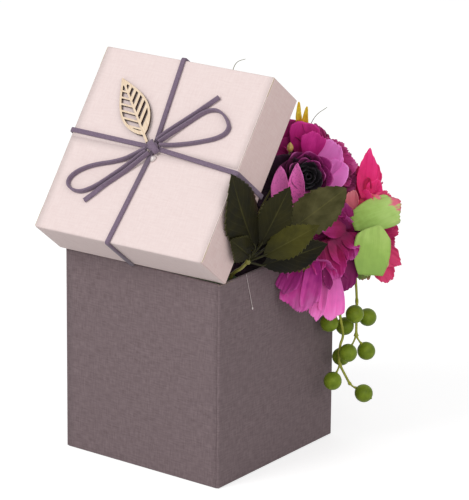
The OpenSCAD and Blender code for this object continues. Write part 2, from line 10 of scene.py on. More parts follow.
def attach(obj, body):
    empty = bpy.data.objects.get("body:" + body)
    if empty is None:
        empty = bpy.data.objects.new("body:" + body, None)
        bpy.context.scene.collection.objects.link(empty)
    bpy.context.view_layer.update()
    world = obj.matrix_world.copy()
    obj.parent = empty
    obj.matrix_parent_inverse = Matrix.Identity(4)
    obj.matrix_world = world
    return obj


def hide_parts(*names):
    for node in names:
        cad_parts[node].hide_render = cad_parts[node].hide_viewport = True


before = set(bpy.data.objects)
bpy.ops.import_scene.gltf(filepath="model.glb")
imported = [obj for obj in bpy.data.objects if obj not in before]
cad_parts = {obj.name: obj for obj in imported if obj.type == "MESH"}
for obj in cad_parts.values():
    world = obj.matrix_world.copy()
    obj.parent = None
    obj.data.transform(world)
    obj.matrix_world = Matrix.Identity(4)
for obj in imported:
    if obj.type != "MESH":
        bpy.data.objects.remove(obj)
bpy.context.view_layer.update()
mm = 0.001

# camera: a long lens, a little above the lid's front corner
camera = {
    "place": (1.40074, -1.84579, 0.90549),
    "right": (0.80074, 0.59894, 0.00861),
    "up": (-0.195, 0.24705, 0.94918),
    "lens": 260.04,
}


def makeCamera(facts):
    data = bpy.data.cameras.new("camera")
    data.lens = facts["lens"]
    data.clip_start, data.clip_end = 0.1, 50
    right, up = Vector(facts["right"]), Vector(facts["up"])
    back = right.cross(up)
    turn = Matrix((right, up, back)).transposed().to_4x4()
    holder = bpy.data.objects.new("camera", data)
    bpy.context.scene.collection.objects.link(holder)
    holder.matrix_world = Matrix.Translation(facts["place"]) @ turn
    bpy.context.scene.camera = holder


makeCamera(camera)
print("camera ready")

# places, in millimetres: the box's frame, the open lid, its knot, the rim and the bouquet
box = {"side": 130.0, "height": 143.0, "board": 2.0, "foot": 0.2}
lid = {"side": 134.6, "depth": 36.0, "board": 1.0, "tilt": 51.5, "yaw": 3.0, "gap": 0.3, "bowUp": 2.7}
paper = {"wrap": 0.2, "stay": 0.15, "tab": 15.0, "boxSeam": 2.0, "lidSeam": 1.1,
         "turnIn": 14.0, "footTurn": 12.0}


def unit(v):
    v = np.asarray(v, float)
    return v / np.linalg.norm(v)


yaw, tilt = math.radians(lid["yaw"]), math.radians(lid["tilt"])
lidX = np.array([math.cos(yaw), math.sin(yaw), 0.0])
lidY = np.array([-math.sin(yaw) * math.cos(tilt), math.cos(yaw) * math.cos(tilt), math.sin(tilt)])
lidZ = np.cross(lidX, lidY)
lidAxes = np.array([lidX, lidY, lidZ])
lidCorner = np.array([0.0, -box["side"] / 2, box["height"] + lid["gap"]])
knotPlace = np.array([0.0, lid["side"] / 2 + lid["bowUp"], lid["depth"]])
rimPlace = np.array([box["side"] / 2, 0.0, box["height"]])
bouquetPlace = np.array([85.0, 33.0, 168.0])
bouquetAxes = np.array([camera["right"], camera["up"], np.cross(camera["right"], camera["up"])])


def onLid(points):
    return lidCorner + np.asarray(points, float) @ lidAxes


def onKnot(points):
    return onLid(np.asarray(points, float) + knotPlace)


def onRim(points):
    return rimPlace + np.asarray(points, float)


def inBouquet(points):      # right, up and out towards the front right corner
    return bouquetPlace + np.asarray(points, float) @ bouquetAxes


# meshes
def makePiece(name, points, faces, material, body, slot, replaces=(), marks=None, thickness=0.0, offset=0.0):
    mesh = bpy.data.meshes.new(name)
    mesh.from_pydata((np.asarray(points, float) * mm).tolist(), [], [list(map(int, f)) for f in faces])
    mesh.update()
    mesh.polygons.foreach_set("use_smooth", [True] * len(mesh.polygons))
    for key, values in (marks or {}).items():
        values = np.asarray(values, np.float32)
        kind, field = ("FLOAT", "value") if values.ndim == 1 else ("FLOAT_VECTOR", "vector")
        mesh.attributes.new(key, kind, "POINT").data.foreach_set(field, values.ravel())
    piece = bpy.data.objects.new(name, mesh)
    bpy.context.scene.collection.objects.link(piece)
    for one in material if isinstance(material, list) else [material]:
        mesh.materials.append(one)
    if thickness:
        sheet = piece.modifiers.new("thickness", "SOLIDIFY")
        sheet.thickness, sheet.offset = thickness * mm, offset
    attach(piece, body)
    if replaces:
        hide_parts(*replaces)
    return piece


def gridFaces(rows, cols, start=0, closed=False):
    wide = cols if closed else cols - 1
    return [[start + i * cols + j, start + i * cols + (j + 1) % cols,
             start + (i + 1) * cols + (j + 1) % cols, start + (i + 1) * cols + j]
            for i in range(rows - 1) for j in range(wide)]


def tubeFaces(rows, sides):
    last = (rows - 1) * sides
    return gridFaces(rows, sides, closed=True) + [list(range(sides))[::-1], list(range(last, last + sides))]


class Heap:
    # collects several shapes into one mesh, with their marks
    def __init__(self):
        self.points, self.faces, self.marks, self.count = [], [], {}, 0

    def add(self, points, faces, **marks):
        points = np.asarray(points, float).reshape(-1, 3)
        self.faces += [[self.count + i for i in f] for f in faces]
        self.points.append(points)
        for key, value in marks.items():
            value = np.asarray(value, float)
            value = value if value.ndim else np.full(len(points), float(value))
            self.marks.setdefault(key, []).append(value)
        self.count += len(points)

    def piece(self, name, material, body, slot, replaces=(), **sheet):
        marks = {k: np.concatenate(v) for k, v in self.marks.items()}
        return makePiece(name, np.concatenate(self.points), self.faces, material, body, slot, replaces, marks,
                         **sheet)


def smoothLine(points, steps):
    # a curve through every point
    p = np.asarray(points, float)
    out = []
    for i in range(len(p) - 1):
        a, b, c, d = p[max(i - 1, 0)], p[i], p[i + 1], p[min(i + 2, len(p) - 1)]
        for k in range(steps):
            t = k / steps
            out.append(b + t / 2 * (c - a) + t * t / 2 * (2 * a - 5 * b + 4 * c - d)
                       + t ** 3 / 2 * (3 * b - a - 3 * c + d))
    out.append(p[-1])
    return np.array(out)


def stemLine(route, steps):
    # straight up in the foam from the first point to the second, then a curve through the rest
    return onRim(np.vstack([route[:1], smoothLine(route[1:], steps)]))


def runningLength(points):
    return np.concatenate([[0], np.cumsum(np.linalg.norm(np.diff(points, axis=0), axis=1))])


def headings(line):
    ahead = np.vstack([line[1:], line[-1:] + (line[-1:] - line[-2:-1])])
    behind = np.vstack([line[:1] - (line[1:2] - line[:1]), line[:-1]])
    t = ahead - behind
    return t / np.linalg.norm(t, axis=1)[:, None]


def sweepFlat(line, wideWay, width, thick, corner=0.35):
    # a flat cord whose section has rounded corners; wideWay is one direction or one for each point
    ahead = headings(line)
    wide = np.broadcast_to(wideWay, line.shape)
    wide = wide - np.sum(wide * ahead, axis=1)[:, None] * ahead
    wide /= np.linalg.norm(wide, axis=1)[:, None]
    thin = np.cross(ahead, wide)
    section = []
    for k, (cx, cy) in enumerate([(1, 1), (-1, 1), (-1, -1), (1, -1)]):
        for a in (0, 45, 90):
            angle = math.radians(90 * k + a)
            section.append((cx * (width / 2 - corner) + corner * math.cos(angle),
                            cy * (thick / 2 - corner) + corner * math.sin(angle)))
    points = np.array([line + wide * x + thin * y for x, y in section]).transpose(1, 0, 2)
    return points.reshape(-1, 3), tubeFaces(len(line), len(section))


def sweepRound(line, radii, sides):
    # a round stem whose radius changes along it
    ahead = headings(line)
    radii = np.broadcast_to(np.asarray(radii, float), (len(line),))
    ref = np.array([0.0, 1.0, 0.0]) if abs(ahead[0][1]) < 0.9 else np.array([1.0, 0.0, 0.0])
    u = unit(np.cross(ref, ahead[0]))
    angles = np.arange(sides)[:, None] * 2 * math.pi / sides
    points = []
    for p, d, r in zip(line, ahead, radii):
        u = unit(u - np.dot(u, d) * d)
        points.append(p + r * (np.cos(angles) * u + np.sin(angles) * np.cross(d, u)))
    return np.concatenate(points), tubeFaces(len(line), sides)


def turnedShape(profile, sides):
    # a shape turned about z from (radius, height) pairs; both ends on the axis
    angles = np.arange(sides) * 2 * math.pi / sides
    circle = np.array([np.cos(angles), np.sin(angles), np.zeros(sides)]).T
    points = np.vstack([[[0, 0, profile[0][1]]]] + [circle * r + [0, 0, z] for r, z in profile[1:-1]]
                       + [[[0, 0, profile[-1][1]]]])
    rows = len(profile) - 2
    end, last = rows * sides + 1, (rows - 1) * sides + 1
    faces = gridFaces(rows, sides, start=1, closed=True)
    faces += [[0, 1 + (k + 1) % sides, 1 + k] for k in range(sides)]
    faces += [[end, last + k, last + (k + 1) % sides] for k in range(sides)]
    return points, faces


def axesFor(direction, right):
    z = unit(direction)
    x = np.asarray(right, float)
    x = unit(x - np.dot(x, z) * z)
    return np.array([x, np.cross(z, x), z])


# materials
def colour(hexValue):
    channels = [int(hexValue[i:i + 2], 16) / 255 for i in (1, 3, 5)]
    return tuple(c / 12.92 if c <= 0.04045 else ((c + 0.055) / 1.055) ** 2.4 for c in channels) + (1.0,)


def addNode(tree, kind, inputs=(), **settings):
    # inputs come in the order of the sockets or by name; a node among them stands for its first output
    node = tree.nodes.new("ShaderNode" + kind)
    for key, value in settings.items():
        setattr(node, key, value)
    for key, value in inputs.items() if isinstance(inputs, dict) else enumerate(inputs):
        if isinstance(value, bpy.types.Node):
            value = value.outputs[0]
        if isinstance(value, bpy.types.NodeSocket):
            tree.links.new(value, node.inputs[key])
        else:
            node.inputs[key].default_value = value
    return node


def newMaterial(name, roughness, specular, **sockets):
    material = bpy.data.materials.new(name)
    material.use_nodes = True
    tree = material.node_tree
    sockets.update(Roughness=roughness, Specular_IOR_Level=specular)
    for key, value in sockets.items():
        tree.nodes["Principled BSDF"].inputs[key.replace("_", " ")].default_value = value
    return material, tree


def finish(material, body, height, strength, depth):
    # joins the colour and a bump of the given depth in millimetres to the shader
    tree = material.node_tree
    shader = tree.nodes["Principled BSDF"]
    bump = addNode(tree, "Bump", {"Height": height, "Strength": strength, "Distance": depth * mm})
    tree.links.new(body, shader.inputs["Base Color"])
    tree.links.new(bump.outputs[0], shader.inputs["Normal"])
    return material


def blend(tree, value, low, high, first, second, a=0.0, b=1.0):
    # from the share a of the second colour to the share b, as the value goes from low to high
    first, second = (colour(c) if isinstance(c, str) else c for c in (first, second))
    share = addNode(tree, "MapRange", (value, low, high, a, b))
    return addNode(tree, "Mix", {0: share, 6: first, 7: second}, data_type="RGBA").outputs[2]


def grain(tree, vector, sizes, detail=2.0, rough=0.5):
    # sizes are the real lengths, in the vector's own units, of one repeat along each axis
    sizes = sizes if isinstance(sizes, tuple) else (sizes,) * 3
    scaled = addNode(tree, "VectorMath", (vector, tuple(1 / s for s in sizes)), operation="MULTIPLY")
    return addNode(tree, "TexNoise", {"Vector": scaled, "Scale": 1.0, "Detail": detail, "Roughness": rough})


def facingUp(tree):
    # 1 where the surface faces the way of the lid's top, 0 where it stands square to it
    normal = addNode(tree, "TexCoord").outputs["Normal"]
    return addNode(tree, "VectorMath", (normal, tuple(lidZ)), operation="DOT_PRODUCT").outputs["Value"]


def clothPaper(name, base, dark, light, thread, relief=0.35, unshadedTop=None):
    # linen-weave bookcloth paper: matt, slubby yarns both ways; its 0.5 mm threads are drawn coarser, to show
    material, tree = newMaterial(name, 0.82, 0.25)
    place = addNode(tree, "Attribute", attribute_name="cloth").outputs["Vector"]
    weft = grain(tree, place, (thread * 7, thread, 1), 2.5)
    warp = grain(tree, place, (thread, thread * 7, 1), 2.5)
    weave = addNode(tree, "Math", (weft, warp), operation="ADD")
    tone = blend(tree, weave, 0.72, 1.28, dark, light)
    body = blend(tree, grain(tree, place, (26, 34, 1), 1.0), 0.3, 0.7, tone, base, 0.3, 0.5)
    if unshadedTop:       # the sides' pinker colour is painted shade, going over into the top's colour where the sheet rounds up to it
        body = blend(tree, facingUp(tree), 0.2, 0.85, body, unshadedTop)
    return finish(material, body, weave, relief, 0.12)


def plainBoard(name, base, dark, size, roughness=0.85, depth=0.1):
    # board, paper, tape or foam: a matt body with flecks of one real size in millimetres
    material, tree = newMaterial(name, roughness, 0.3)
    place = addNode(tree, "TexCoord").outputs["Object"]
    fleck = grain(tree, place, size * mm, 3.0)
    both = addNode(tree, "Math", (fleck, grain(tree, place, size * 14 * mm, 1.0)), operation="ADD")
    return finish(material, blend(tree, both, 0.75, 1.25, dark, base), fleck, 0.5, depth)


def fauxSuede(name, base, dark, light):
    # microfibre suede cord: napped, with a soft sheen
    material, tree = newMaterial(name, 0.9, 0.15, Sheen_Weight=0.25, Sheen_Roughness=0.5)
    place = addNode(tree, "TexCoord").outputs["Object"]
    nap = grain(tree, place, 0.8 * mm, 3.0, 0.65)
    tone = blend(tree, nap, 0.3, 0.7, dark, light)
    body = blend(tree, grain(tree, place, 6 * mm, 1.0), 0.3, 0.7, tone, base, 0.2, 0.7)
    return finish(material, body, nap, 0.5, 0.15)


def burntBirch(name):
    # laser-cut birch veneer: pale face with fine grain, cut faces charred brown
    material, tree = newMaterial(name, 0.6, 0.35)
    place = addNode(tree, "TexCoord").outputs["Object"]
    along, across = (addNode(tree, "VectorMath", (place, tuple(way)), operation="DOT_PRODUCT").outputs["Value"]
                     for way in (woodAlong, woodAcross))
    fibre = grain(tree, addNode(tree, "CombineXYZ", (along, across)), (9 * mm, 0.7 * mm, 1), 3.0)
    face = blend(tree, fibre, 0.3, 0.7, "#dcc0a0", "#f3e0c9")
    body = blend(tree, facingUp(tree), 0.35, 0.8, "#3c241b", face)
    return finish(material, body, fibre, 0.3, 0.05)


def petalCloth(name, stops, streak, speck=None, roughness=0.6, edge=None, shade=None):
    # dyed polyester satin, heat pressed: colour runs from base to rim, fine streaks along the petal
    material, tree = newMaterial(name, roughness, 0.25, Sheen_Weight=0.08)
    along, across, tone = (addNode(tree, "Attribute", attribute_name=key).outputs["Fac"]
                           for key in ("along", "across", "tone"))
    place = addNode(tree, "TexCoord").outputs["Object"]
    fibre = grain(tree, addNode(tree, "CombineXYZ", (across, along, tone)), (1 / 9, 1 / 1.6, 1 / 37), 3.0, 0.6)
    cloud = addNode(tree, "MapRange", (grain(tree, place, 7 * mm), 0.3, 0.7, -0.16, 0.16))
    shift = addNode(tree, "Math", (cloud, along), operation="ADD")
    streaks = addNode(tree, "MapRange", (fibre, 0.25, 0.75, -0.12, 0.12))
    dyed = addNode(tree, "ValToRGB", (addNode(tree, "Math", (streaks, shift), operation="ADD"),))
    for k, (stopAt, hexValue) in enumerate(stops):
        stop = dyed.color_ramp.elements[k] if k < 2 else dyed.color_ramp.elements.new(stopAt)
        stop.position, stop.color = stopAt, colour(hexValue)
    body = blend(tree, fibre, 0.35, 0.7, dyed.outputs[0], stops[0][1], streak, 0.0)
    if speck:
        body = blend(tree, grain(tree, place, 1.1 * mm, 1.0), 0.54, 0.62, body, speck, 0.0, 0.75)
    # the tone mark paints each petal lighter, towards the last stop, or darker, towards the shade colour: partly
    # its own dye, partly painted light and shade for petals lit or in shadow
    body = blend(tree, tone, 0.5, 1.0, body, stops[-1][1], 0.0, 0.7)
    if shade:
        body = blend(tree, tone, 0.5, 0.0, body, shade, 0.0, 0.75)
    if edge:
        body = blend(tree, along, 0.94, 1.0, body, edge, 0.0, 0.6)
    return finish(material, body, fibre, 0.3, 0.25)


def leafCloth(name):
    # printed polyester leaf with a waxed face: dark olive, paler veins, light cut edge; the tone mark paints
    # shaded leaves near black and the lit waxy leaf paler, as painted shade and painted sheen
    material, tree = newMaterial(name, 0.5, 0.09)
    along, across, tone = (addNode(tree, "Attribute", attribute_name=key).outputs["Fac"]
                           for key in ("along", "across", "tone"))
    cloud = grain(tree, addNode(tree, "TexCoord").outputs["Object"], 8 * mm)
    side = addNode(tree, "Math", (across,), operation="ABSOLUTE")
    slant = addNode(tree, "Math", (side, -0.35, along), operation="MULTIPLY_ADD")
    comb = addNode(tree, "Math", (slant, 52.0), operation="MULTIPLY")
    vein = addNode(tree, "MapRange", (addNode(tree, "Math", (comb,), operation="SINE"), 0.86, 1.0, 0.0, 1.0))
    rib = addNode(tree, "MapRange", (side, 0.05, 0.015, 0.0, 1.0))
    dark, olive, pale = (blend(tree, cloud, 0.3, 0.7, first, second) for first, second in (
        ("#12110a", "#1e1b08"), ("#38360f", "#4a4718"), ("#38361a", "#534f30")))
    # painted light: tone 0 is a leaf in shade, near black; tone 1 is the lit waxy leaf with a painted sheen
    body = blend(tree, tone, 0.5, 1.0, blend(tree, tone, 0.0, 0.5, dark, olive), pale)
    # the rows paint paler veins, a paler midrib and a light cut edge; the last row darkens each leaf towards its
    # base as painted shade
    for value, low, high, hexValue, most in (
            (vein, 0.0, 1.0, "#6f6d4a", 0.06), (rib, 0.0, 1.0, "#77733f", 0.2),
            (side, 0.95, 1.0, "#7d7a4e", 0.3), (along, 0.45, 0.04, "#0b0a06", 0.65)):
        body = blend(tree, value, low, high, body, hexValue, 0.0, most)
    return finish(material, body, addNode(tree, "Math", (vein, rib), operation="ADD"), 0.25, 0.3)


def smoothPlastic(name, base, dark, light, size, roughness=0.4, specular=0.5, **sockets):
    # moulded soft plastic with an airbrushed tint of one real size in millimetres
    material, tree = newMaterial(name, roughness, specular, **sockets)
    place = addNode(tree, "TexCoord").outputs["Object"]
    fine = grain(tree, place, size * 0.12 * mm)
    tone = blend(tree, grain(tree, place, size * mm), 0.3, 0.7, dark, light)
    body = blend(tree, fine, 0.35, 0.65, tone, base, 0.25, 0.75)
    return finish(material, body, fine, 0.25, 0.06)


woodTurn = math.radians(43.4)
woodAlong = -math.sin(woodTurn) * lidX + math.cos(woodTurn) * lidY
woodAcross = math.cos(woodTurn) * lidX + math.sin(woodTurn) * lidY
greyCloth = clothPaper("greyClothPaper", "#78686b", "#665759", "#8a797c", 0.95)
creamCloth = clothPaper("creamClothPaper", "#ebd9d6", "#e6d2cf", "#f0dfdc", 1.1, 0.12)
# a pinker copy of the cream cloth for the lid's side walls: painted shade, fading into the top's colour on the
# rounded edges
creamClothPaintedShade = clothPaper("creamClothPaintedShadePaper", "#e9cfcb", "#e3c6c2", "#eed8d4", 1.1, 0.12, "#ebd9d6")
greyBoard = plainBoard("greyboard", "#b5aa98", "#8f8575", 1.2)
gummedTape = plainBoard("gummedTape", "#cbb98f", "#b39f74", 1.5, 0.7)
darkPaper = plainBoard("darkPaper", "#2a2426", "#1c1819", 0.8)
whitePaper = plainBoard("whitePaper", "#f1ebe6", "#e6ded7", 0.9, 0.8)
floralFoam = plainBoard("floralFoam", "#56703f", "#2f4226", 0.9, 0.95, 0.5)
bamboo = plainBoard("bamboo", "#dcc18f", "#bd9c64", 1.0, 0.5)
hotGlue = smoothPlastic("hotGlue", "#e9e3da", "#d8d0c6", "#f6f2ec", 3.0, 0.25, 0.5, Subsurface_Weight=0.3,
                        Subsurface_Scale=2 * mm)
clearGlue = smoothPlastic("clearHotGlue", "#cdbfbd", "#b5a7a6", "#efe6e4", 1.5, 0.16, 0.6)
suede = fauxSuede("fauxSuede", "#7c6a7c", "#625268", "#8e7c8f")
birch = burntBirch("laserCutBirch")
berrySkin = smoothPlastic("berryFoamSkin", "#73881f", "#566c12", "#8fa42e", 5.0, 0.45, 0.18)
stalkPlastic = smoothPlastic("stalkPlastic", "#a3a93a", "#8b9430", "#c2c04c", 6.0, 0.5, 0.4)
stemPlastic = smoothPlastic("stemPlastic", "#7d7a35", "#5c5c26", "#a0964a", 7.0, 0.5, 0.4)
grassPlastic = smoothPlastic("grassPlastic", "#5a5626", "#43411c", "#7a7236", 4.0, 0.5, 0.4)
yellowCloth = smoothPlastic("yellowFabric", "#f4cf2c", "#dca61c", "#ffe860", 3.0, 0.6, 0.2)
petiolePlastic = smoothPlastic("petiolePlastic", "#2a2812", "#1c1b0d", "#3c3a1c", 4.0, 0.5, 0.15)
budPlastic = smoothPlastic("budPlastic", "#c8963c", "#8f6428", "#f0dc92", 2.6, 0.45, 0.3)
leafMaterial = leafCloth("waxedLeafCloth")
satin = {
    "ranunculus": petalCloth("ranunculusSatin", [(0.0, "#8c1c74"), (0.35, "#e050b8"), (0.62, "#ff74da"),
                                                 (1.0, "#ff92e6")], 0.06, edge="#ffb0ec"),
    "speckled": petalCloth("ranunculusSpeckledSatin", [(0.0, "#c8489c"), (0.4, "#fa64c4"), (1.0, "#ff82d2")],
                           0.05, speck="#9c1c76"),
    "ranunculusInner": petalCloth("ranunculusInnerSatin", [(0.0, "#0d0409"), (0.48, "#220918"),
                                                           (0.68, "#86145e"), (1.0, "#bc3290")], 0.15,
                                  edge="#dc68b6", shade="#16070f"),
    "ranunculusHeart": petalCloth("ranunculusHeartSatin", [(0.0, "#0a0608"), (0.6, "#181118"),
                                                           (1.0, "#332c36")], 0.1, roughness=0.4),
    # dark plum sheets set where the bouquet lies in deep shade: painted shade
    "shade": petalCloth("paintedShadePlumSatin", [(0.0, "#0e060c"), (0.6, "#1c0a19"), (1.0, "#34122e")], 0.1),
    "upper": petalCloth("upperBloomSatin", [(0.0, "#9c1060"), (0.4, "#cc1e88"), (1.0, "#ee3ea8")], 0.06,
                        shade="#720a42"),
    "carnation": petalCloth("carnationSatin", [(0.0, "#7a1048"), (0.35, "#b82674"), (0.8, "#dc4c9c"),
                                               (1.0, "#f070b8")], 0.1, edge="#8e1650", shade="#5c0f38"),
    "pink": petalCloth("pinkBloomSatin", [(0.0, "#b31244"), (0.4, "#ea2072"), (1.0, "#ff3a8c")], 0.1,
                       edge="#ff64a0", shade="#a80f3a"),
    "coral": petalCloth("pinkBloomCoralSatin", [(0.0, "#e0405a"), (0.5, "#f2637a"), (1.0, "#f78f9c")], 0.1,
                        edge="#f9a0b4"),
    "greenBack": petalCloth("greenBackSatin", [(0.0, "#8fb04e"), (0.4, "#aace68"), (0.88, "#bede80"),
                                               (1.0, "#f0708f")], 0.05, edge="#f0547f", shade="#55782c"),
    "greenFold": petalCloth("greenFoldSatin", [(0.0, "#94b858"), (0.5, "#a8cc64"), (1.0, "#bcdc78")], 0.05),
    "greenFace": petalCloth("greenBloomFaceSatin", [(0.0, "#6d1238"), (0.5, "#c31c68"), (1.0, "#f04c80")], 0.12,
                            shade="#a81458"),
    "middle": petalCloth("middleBloomSatin", [(0.0, "#740a38"), (0.4, "#a40e54"), (0.8, "#c62884"),
                                              (1.0, "#e864c0")], 0.1, shade="#701058"),
    "low": petalCloth("lowBloomSatin", [(0.0, "#a0166c"), (0.3, "#cc3aa4"), (0.7, "#fc62c6"),
                                        (1.0, "#ff8ad8")], 0.06, shade="#a01a7c"),
}
print("materials ready")

# bow: flat suede cord leaning on its edge; x, y and height of its middle from the knot
bow = {
    "width": 3.2, "thick": 1.6, "air": 0.05, "lean": 0.4,
    "loopRight": [(3.2, 3.7, 3.5), (8, 9.6, 3), (13.5, 16.2, 2.2), (19.5, 23, 1.7), (25, 28.8, 1.7),
                  (30, 32.3, 1.7), (36, 33.6, 1.7), (42, 31.6, 1.7), (47, 27.5, 1.7), (49.6, 22.8, 1.7),
                  (47.6, 18, 1.7), (42, 14, 1.7), (35, 11, 1.7), (28, 8.4, 1.7), (21, 6.1, 2), (14, 4, 2.6),
                  (8, 2.6, 3.3), (4.6, 2, 3.5)],
    "loopLeft": [(-4.4, -2.4, 3.5), (-10, -6.6, 3), (-17.5, -11.6, 2.2), (-26, -15.4, 1.7),
                 (-35, -18.6, 1.7), (-43, -22.2, 1.7), (-49.5, -26.8, 1.7), (-53.4, -32, 1.7),
                 (-53, -37, 1.7), (-48.5, -40, 1.7), (-42, -40.2, 1.7), (-36, -37.4, 1.7),
                 (-30, -32.6, 1.7), (-24, -26.2, 1.7), (-18, -19.6, 1.7), (-12, -13, 2.2), (-7, -7.4, 3),
                 (-3.6, -4.4, 3.5)],
    "tailRight": [(1, 4.7, 3.5), (5.6, 11.4, 3), (11.2, 18.2, 2.2), (17.2, 25, 1.7), (22.8, 31, 1.7),
                  (28.2, 37, 1.7), (33.5, 43, 1.7)],
    "tailLeft": [(-1, -4.8, 3.5), (-4.8, -9.8, 3.5), (-9.7, -15.3, 2.6), (-15.7, -21.8, 1.7),
                 (-21.8, -28.4, 1.7), (-27.6, -34.8, 1.6), (-32, -40.4, 1.3), (-36.4, -45.6, 1.1)],
}


def makeBowCord(name, route, node, flat=0.0):
    # a tail turns flat on the lid towards its end, by the amount given
    line = onKnot(smoothLine(route, 5))
    lean = bow["lean"] + flat * np.clip((np.linspace(0, 1, len(line)) - 0.62) / 0.38, 0, 1) ** 1.5
    wide = lidZ + lean[:, None] * (0.42 * lidY - 0.9 * lidX)
    piece = makePiece(name, *sweepFlat(line, wide, bow["width"], bow["thick"]), suede, "lid", "suede_cord",
                      [node])


makeBowCord("bowLoopRight", bow["loopRight"], "bow_loop_right")
makeBowCord("bowLoopLeft", bow["loopLeft"], "bow_loop_left")
makeBowCord("bowTailRight", bow["tailRight"], "bow_tail_right", 1.2)
makeBowCord("bowTailLeft", bow["tailLeft"], "bow_tail_left", 6.0)
print("bow ready")

# cord runs glued round the lid
runs = {"acrossLeft": 1.3, "acrossRight": -6.0, "alongBack": -4.6, "alongFront": -7.0, "inside": 12.0,
        "bend": 1.4, "smallBend": 0.9, "crossingBend": 3.0, "lining": 1.1, "knotGap": 0.6}


def runPath(points, corners):
    # rounds the corners of a run with short arcs
    line = [np.array(points[0], float)]
    for i in range(1, len(points) - 1):
        before, here, after = (np.array(points[k], float) for k in (i - 1, i, i + 1))
        r = corners[i - 1]
        start, end = here + unit(before - here) * r, here + unit(after - here) * r
        for t in np.linspace(0, 1, 7):
            line.append((1 - t) ** 2 * start + 2 * t * (1 - t) * here + t * t * end)
    return np.array(line + [np.array(points[-1], float)])


def makeRuns():
    half, deep, width, thick = lid["side"] / 2, lid["depth"], bow["width"], bow["thick"]
    top = bow["air"] + thick / 2
    inward = lid["board"] + runs["lining"] + 4 * bow["air"] + thick / 2
    under, inside = -deep - top, -deep + runs["inside"]
    out, inner, left, right = half + top, half - inward, runs["acrossLeft"], runs["acrossRight"]
    bend, small = runs["bend"], runs["smallBend"]
    across = [(-inner, left, inside), (-inner, left, under), (-out, left, under), (-out, left, top),
              (0, 0, top), (out, right, top), (out, right, under), (inner, right, under), (inner, right, inside)]
    line = onKnot(runPath(across, [small, small, bend, runs["crossingBend"], bend, small, small]))
    makePiece("cordRunAcross", *sweepFlat(line, lidY, width, thick), suede, "lid", "suede_cord",
              ["cord_run_across"])
    heap = Heap()
    for shift, reach, sign in ((runs["alongBack"], half - lid["bowUp"], 1),
                               (runs["alongFront"], half + lid["bowUp"], -1)):
        start, far, near = width / 2 + runs["knotGap"], reach + top, reach - inward
        points = [(shift * start / reach, sign * start, top), (shift, sign * far, top)]
        if sign > 0:
            points += [(shift, far, under), (shift, near, under), (shift, near, inside)]
        else:
            points += [(shift, -far, -deep + lid["gap"])]
        heap.add(*sweepFlat(onKnot(runPath(points, [bend, small, small])), lidX, width, thick))
    heap.piece("cordRunAlong", suede, "lid", "suede_cord", ["cord_run_along"])


makeRuns()

knot = {"turn": math.radians(-42), "span": 5.0, "shift": 0.2, "skew": 0.05, "low": 2.1, "rise": 3.1,
        "width": 4.3, "thick": 1.3,
        "core": [(0, 1.75), (3.2, 1.8), (3.9, 2.6), (3.9, 3.6), (3.0, 4.5), (0, 4.8)]}


def makeKnot():
    # one turn of the cord pulled over the crossing, from upper left to lower right
    c, s = math.cos(knot["turn"]), math.sin(knot["turn"])
    line = []
    for k in range(17):
        a = math.radians(-12 + 204 * k / 16)
        x = -math.cos(a) * knot["span"]
        y = knot["shift"] + knot["skew"] * x
        line.append((x * c - y * s, x * s + y * c, knot["low"] + max(math.sin(a), -0.1) * knot["rise"]))
    heap = Heap()
    heap.add(*sweepFlat(onKnot(line), c * lidY - s * lidX, knot["width"], knot["thick"]))
    core, faces = turnedShape(knot["core"], 20)
    heap.add(onKnot(core * [1.0, 0.8, 1.0]), faces)
    heap.piece("bowKnot", suede, "lid", "suede_cord", ["bow_knot"])


makeKnot()


glue = {"dabPlace": (1.8, -7.3, 0), "dabWave": 0.12, "threadRadii": (0.12, 0.22),
        "dab": [(0, 0.1), (2.1, 0.15), (2.4, 0.5), (1.9, 1.2), (0.9, 1.7), (0, 1.8)],
        "drop": [(0, -1.1), (0.6, -0.9), (0.8, -0.2), (0.5, 0.6), (0, 1.0)],
        "thread": [(65.5, -36.6, 143.4), (65.6, -35, 137), (65.6, -32.4, 128), (65.6, -29.7, 118)]}


def makeGlueTraces():
    # a clear dab below the knot and a thread of glue run down the right wall
    dab, faces = turnedShape(glue["dab"], 18)
    dab[:, :2] *= 1 + glue["dabWave"] * np.sin(3 * np.arctan2(dab[:, 1], dab[:, 0]))[:, None]
    makePiece("knotGlue", onKnot(dab + glue["dabPlace"]), faces, clearGlue, "lid", "hot_glue")
    line = smoothLine(glue["thread"], 6)
    heap = Heap()
    heap.add(*sweepRound(line, np.linspace(*glue["threadRadii"], len(line)), 8))
    drop, faces = turnedShape(glue["drop"], 14)
    heap.add(drop * [0.6, 1, 1] + glue["thread"][-1], faces)
    heap.piece("wallGlue", clearGlue, "box", "hot_glue")


makeGlueTraces()
print("cord runs ready")

# covering: sheets over the walls, with rounded edges and a lapped seam near each upright edge
cover = {"edge": 1.2, "rim": 0.8, "foot": 0.6}


def cartonPoint(kind, x, y, z):
    # carton coordinates have the closed end at z = 0 and the rim at z = depth
    return (x, y, z) if kind == "box" else tuple(onLid([x, y + lid["side"] / 2, lid["depth"] - z]))


